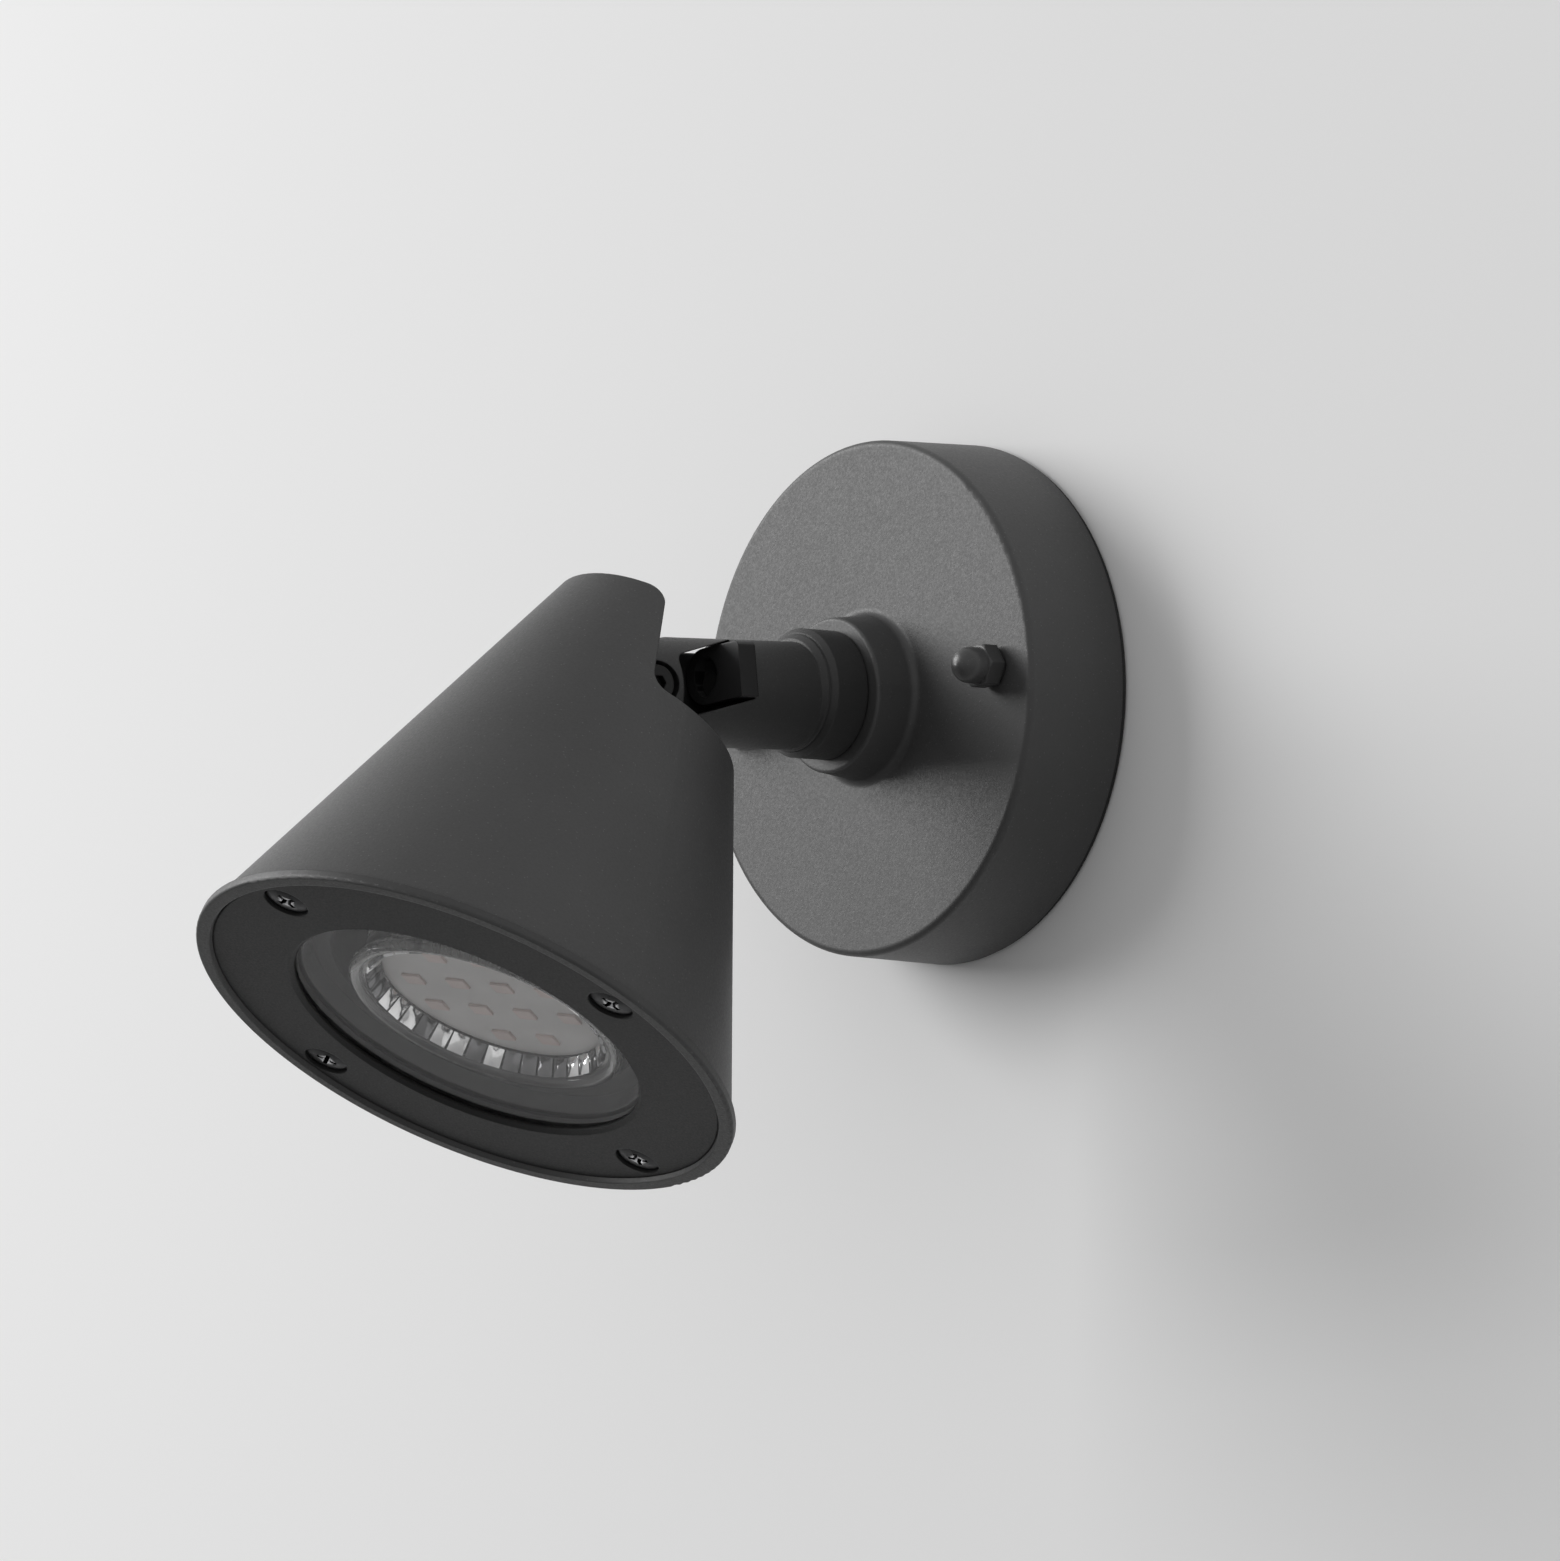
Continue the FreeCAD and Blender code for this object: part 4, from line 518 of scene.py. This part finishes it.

# The prismatic band inside the lamp's rim: slightly cushioned mirror facets on the dish, each a little
# out of true. A random share of them gets a bright mirror colour, a painted highlight.
facet_numbers = {"Count": 39, "Band radius": 0.0207, "Band height": 0.0094, "Facet width": 0.0029,
                 "Facet length": 0.0034, "Facet thickness": 0.0005, "Cushion": 0.0003, "Slope": -0.445,
                 "Wobble": 0.12, "Seed": 7, "Painted highlight share": 0.42}
FACET_POINTS = 7
facet_tree, given, facet_end = geometry_tree("prismatic band", **facet_numbers)
pad = put(facet_tree, "GeometryNodeMeshCube",
          {"Size": vector(facet_tree, X=given["Facet thickness"], Y=given["Facet width"],
                          Z=given["Facet length"]),
           "Vertices X": 2, "Vertices Y": FACET_POINTS, "Vertices Z": FACET_POINTS})
where = point_place(facet_tree)
swell = []
for axis, size in (("Y", "Facet width"), ("Z", "Facet length")):
    share = calc(facet_tree, "DIVIDE", where[axis], calc(facet_tree, "MULTIPLY", given[size], 0.5))
    swell.append(calc(facet_tree, "SUBTRACT", 1.0, calc(facet_tree, "MULTIPLY", share, share)))
lift = calc(facet_tree, "MULTIPLY", calc(facet_tree, "MULTIPLY", swell[0], swell[1]), given["Cushion"])
cushion = put(facet_tree, "GeometryNodeSetPosition",
              {"Geometry": pad.outputs[0], "Selection": calc(facet_tree, "LESS_THAN", where["X"], 0.0),
               "Offset": vector(facet_tree, X=calc(facet_tree, "MULTIPLY", lift, -1.0))})
facet = moved(facet_tree, cushion.outputs[0], Rotation=turn(facet_tree, Y=given["Slope"]))
places, angle = round_places(facet_tree, given["Count"], given["Band radius"], given["Band height"])
chance = put(facet_tree, "FunctionNodeRandomValue", {"Seed": given["Seed"]}, data_type="FLOAT")
twist = calc(facet_tree, "MULTIPLY", calc(facet_tree, "SUBTRACT", chance.outputs[1], 0.5), given["Wobble"])
band = repeated(facet_tree, places, facet, turn(facet_tree, Z=calc(facet_tree, "ADD", angle, twist)))
lot = put(facet_tree, "FunctionNodeRandomValue", {"Seed": calc(facet_tree, "ADD", given["Seed"], 1.0)},
          data_type="FLOAT")
# A random share of the facets is marked for the painted highlight.
band = marked(facet_tree, band, "gleam",
              calc(facet_tree, "LESS_THAN", lot.outputs[1], given["Painted highlight share"]), "INSTANCE")

# Mirror colour of the facets; the bright one is a painted highlight for the marked share.
FACET_DULL, FACET_PAINTED_HIGHLIGHT, FACET_ROUGH = (0.2, 0.2, 0.205), (1.0, 1.0, 1.0), 0.12
RIPPLE_SCALE, RIPPLE_RELIEF, RIPPLE_DEPTH = 420.0, 0.3, 0.0003
facet_mirror, mirror_tree, mirror_surface = blank("mirror facets")
ripple = noise(mirror_tree, own_place(mirror_tree), RIPPLE_SCALE, 2.0)
wire(mirror_tree, mirror_surface, {
    "Base Color": grade(mirror_tree, read_mark(mirror_tree, "gleam"), (0.0, FACET_DULL), (1.0, FACET_PAINTED_HIGHLIGHT)),
    "Normal": relief(mirror_tree, ripple, RIPPLE_RELIEF, RIPPLE_DEPTH)})
mirror_surface.inputs["Metallic"].default_value = 1.0
mirror_surface.inputs["Roughness"].default_value = FACET_ROUGH
finish_tree(facet_tree, facet_end, band, facet_mirror)

# The lamp leans a little in its holder, to the wall side, about its base.
LAMP_SAG, LAMP_BASE = math.radians(3.2), 0.0479
LAMP = (HEAD @ Matrix.Translation((0, 0, LAMP_BASE)) @ Matrix.Rotation(LAMP_SAG, 4, "X")
        @ Matrix.Translation((0, 0, -LAMP_BASE)))
facets = grown("lamp_facets", facet_tree, LAMP, **facet_numbers)
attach(facets, "head_body")


# ---- Wall and light ----------------------------------------------------------------------------
# Pale plaster wall that the canopy sits on, with the round hole of a wall box behind it, so that the
# canopy's back is lit too; a large soft light from the upper left and a weak fill.
WALL_HOLE, WALL_REACH, WALL_SIDES, WALL_GAP = 0.0425, 3.0, 96, 0.0003
WALL_TONE, WALL_ROUGH, WALL_MIRROR = 0.84, 0.9, 0.1
wall_mesh = bpy.data.meshes.new("wall")
wall_mesh.from_pydata(
    [(radius * math.cos(math.tau * k / WALL_SIDES), WALL_GAP, radius * math.sin(math.tau * k / WALL_SIDES))
     for radius in (WALL_HOLE, WALL_REACH) for k in range(WALL_SIDES)], [],
    [(k, (k + 1) % WALL_SIDES, WALL_SIDES + (k + 1) % WALL_SIDES, WALL_SIDES + k) for k in range(WALL_SIDES)])
if wall_mesh.polygons[0].normal.y > 0:
    wall_mesh.flip_normals()
wall = bpy.data.objects.new("wall", wall_mesh)
bpy.context.scene.collection.objects.link(wall)
wall_paint, wall_tree, wall_surface = blank("wall paint")
wall_surface.inputs["Base Color"].default_value = (WALL_TONE, WALL_TONE, WALL_TONE, 1.0)
wall_surface.inputs["Roughness"].default_value = WALL_ROUGH
wall_surface.inputs["Specular IOR Level"].default_value = WALL_MIRROR
# Seen from behind, the wall is left out.
one_sided = put(wall_tree, "ShaderNodeMixShader",
                {"Fac": put(wall_tree, "ShaderNodeNewGeometry").outputs["Backfacing"],
                 1: wall_surface.outputs["BSDF"],
                 2: put(wall_tree, "ShaderNodeBsdfTransparent").outputs["BSDF"]})
wall_tree.links.new(one_sided.outputs["Shader"], wall_tree.nodes["Material Output"].inputs["Surface"])
wall_mesh.materials.append(wall_paint)

LIT_PLACE = (0, -0.08, -0.03)


def soft_light(name, place, width, power):
    """Square area light that faces the wall light."""
    lamp = bpy.data.lights.new(name, "AREA")
    lamp.shape = "SQUARE"
    lamp.size = width
    lamp.energy = power
    holder = bpy.data.objects.new(name, lamp)
    holder.location = place
    holder.rotation_euler = (Vector(LIT_PLACE) - Vector(place)).to_track_quat("-Z", "Y").to_euler()
    bpy.context.scene.collection.objects.link(holder)


soft_light("key", (-1.72, -1.3, 0.95), width=1.45, power=46.0)
soft_light("fill", (1.6, -1.6, 0.3), width=1.6, power=1.5)

SKY_BELOW, SKY_ABOVE, SKY_BLEND = 0.24, 0.58, 0.6
sky = bpy.data.worlds.new("studio")
sky.use_nodes = True
sky_tree, sky_shader = sky.node_tree, sky.node_tree.nodes["Background"]
sky_direction = put(sky_tree, "ShaderNodeTexCoord").outputs["Generated"]
sky_height = put(sky_tree, "ShaderNodeSeparateXYZ", {"Vector": sky_direction}).outputs["Z"]
sky_shader.inputs["Color"].default_value = (1, 1, 1, 1)
wire(sky_tree, sky_shader, {
    "Strength": remapped(sky_tree, sky_height, SKY_BELOW, SKY_ABOVE, start=-SKY_BLEND, end=SKY_BLEND)})
bpy.context.scene.world = sky
bpy.context.scene.view_settings.view_transform = "Standard"


# ---- Camera ------------------------------------------------------------------------------------
# The photograph's viewpoint: right of the light, slightly below it, with a long lens.
AZIMUTH, ELEVATION, ROLL = math.radians(51.37), math.radians(-8.21), math.radians(-2.77)
DISTANCE, RIGHTWARD, UPWARD = 1.26806, -0.031828, -0.013649
SENSOR, PHOTO_WIDTH, FOCAL_PIXELS = 36.0, 1560, 7015
toward = Vector((math.sin(AZIMUTH) * math.cos(ELEVATION), -math.cos(AZIMUTH) * math.cos(ELEVATION),
                 math.sin(ELEVATION)))
level = Vector((math.cos(AZIMUTH), math.sin(AZIMUTH), 0))
upright = toward.cross(level)
right = level * math.cos(ROLL) + upright * math.sin(ROLL)
upward = upright * math.cos(ROLL) - level * math.sin(ROLL)
lens = bpy.data.cameras.new("camera")
lens.sensor_width = SENSOR
lens.sensor_fit = "HORIZONTAL"
lens.lens = FOCAL_PIXELS / PHOTO_WIDTH * SENSOR
camera = bpy.data.objects.new("camera", lens)
camera_place = right * RIGHTWARD + upward * UPWARD + toward * DISTANCE
camera.matrix_world = (Matrix.Translation(camera_place)
                       @ Matrix((right, upward, toward)).transposed().to_4x4())
bpy.context.scene.collection.objects.link(camera)
bpy.context.scene.camera = camera
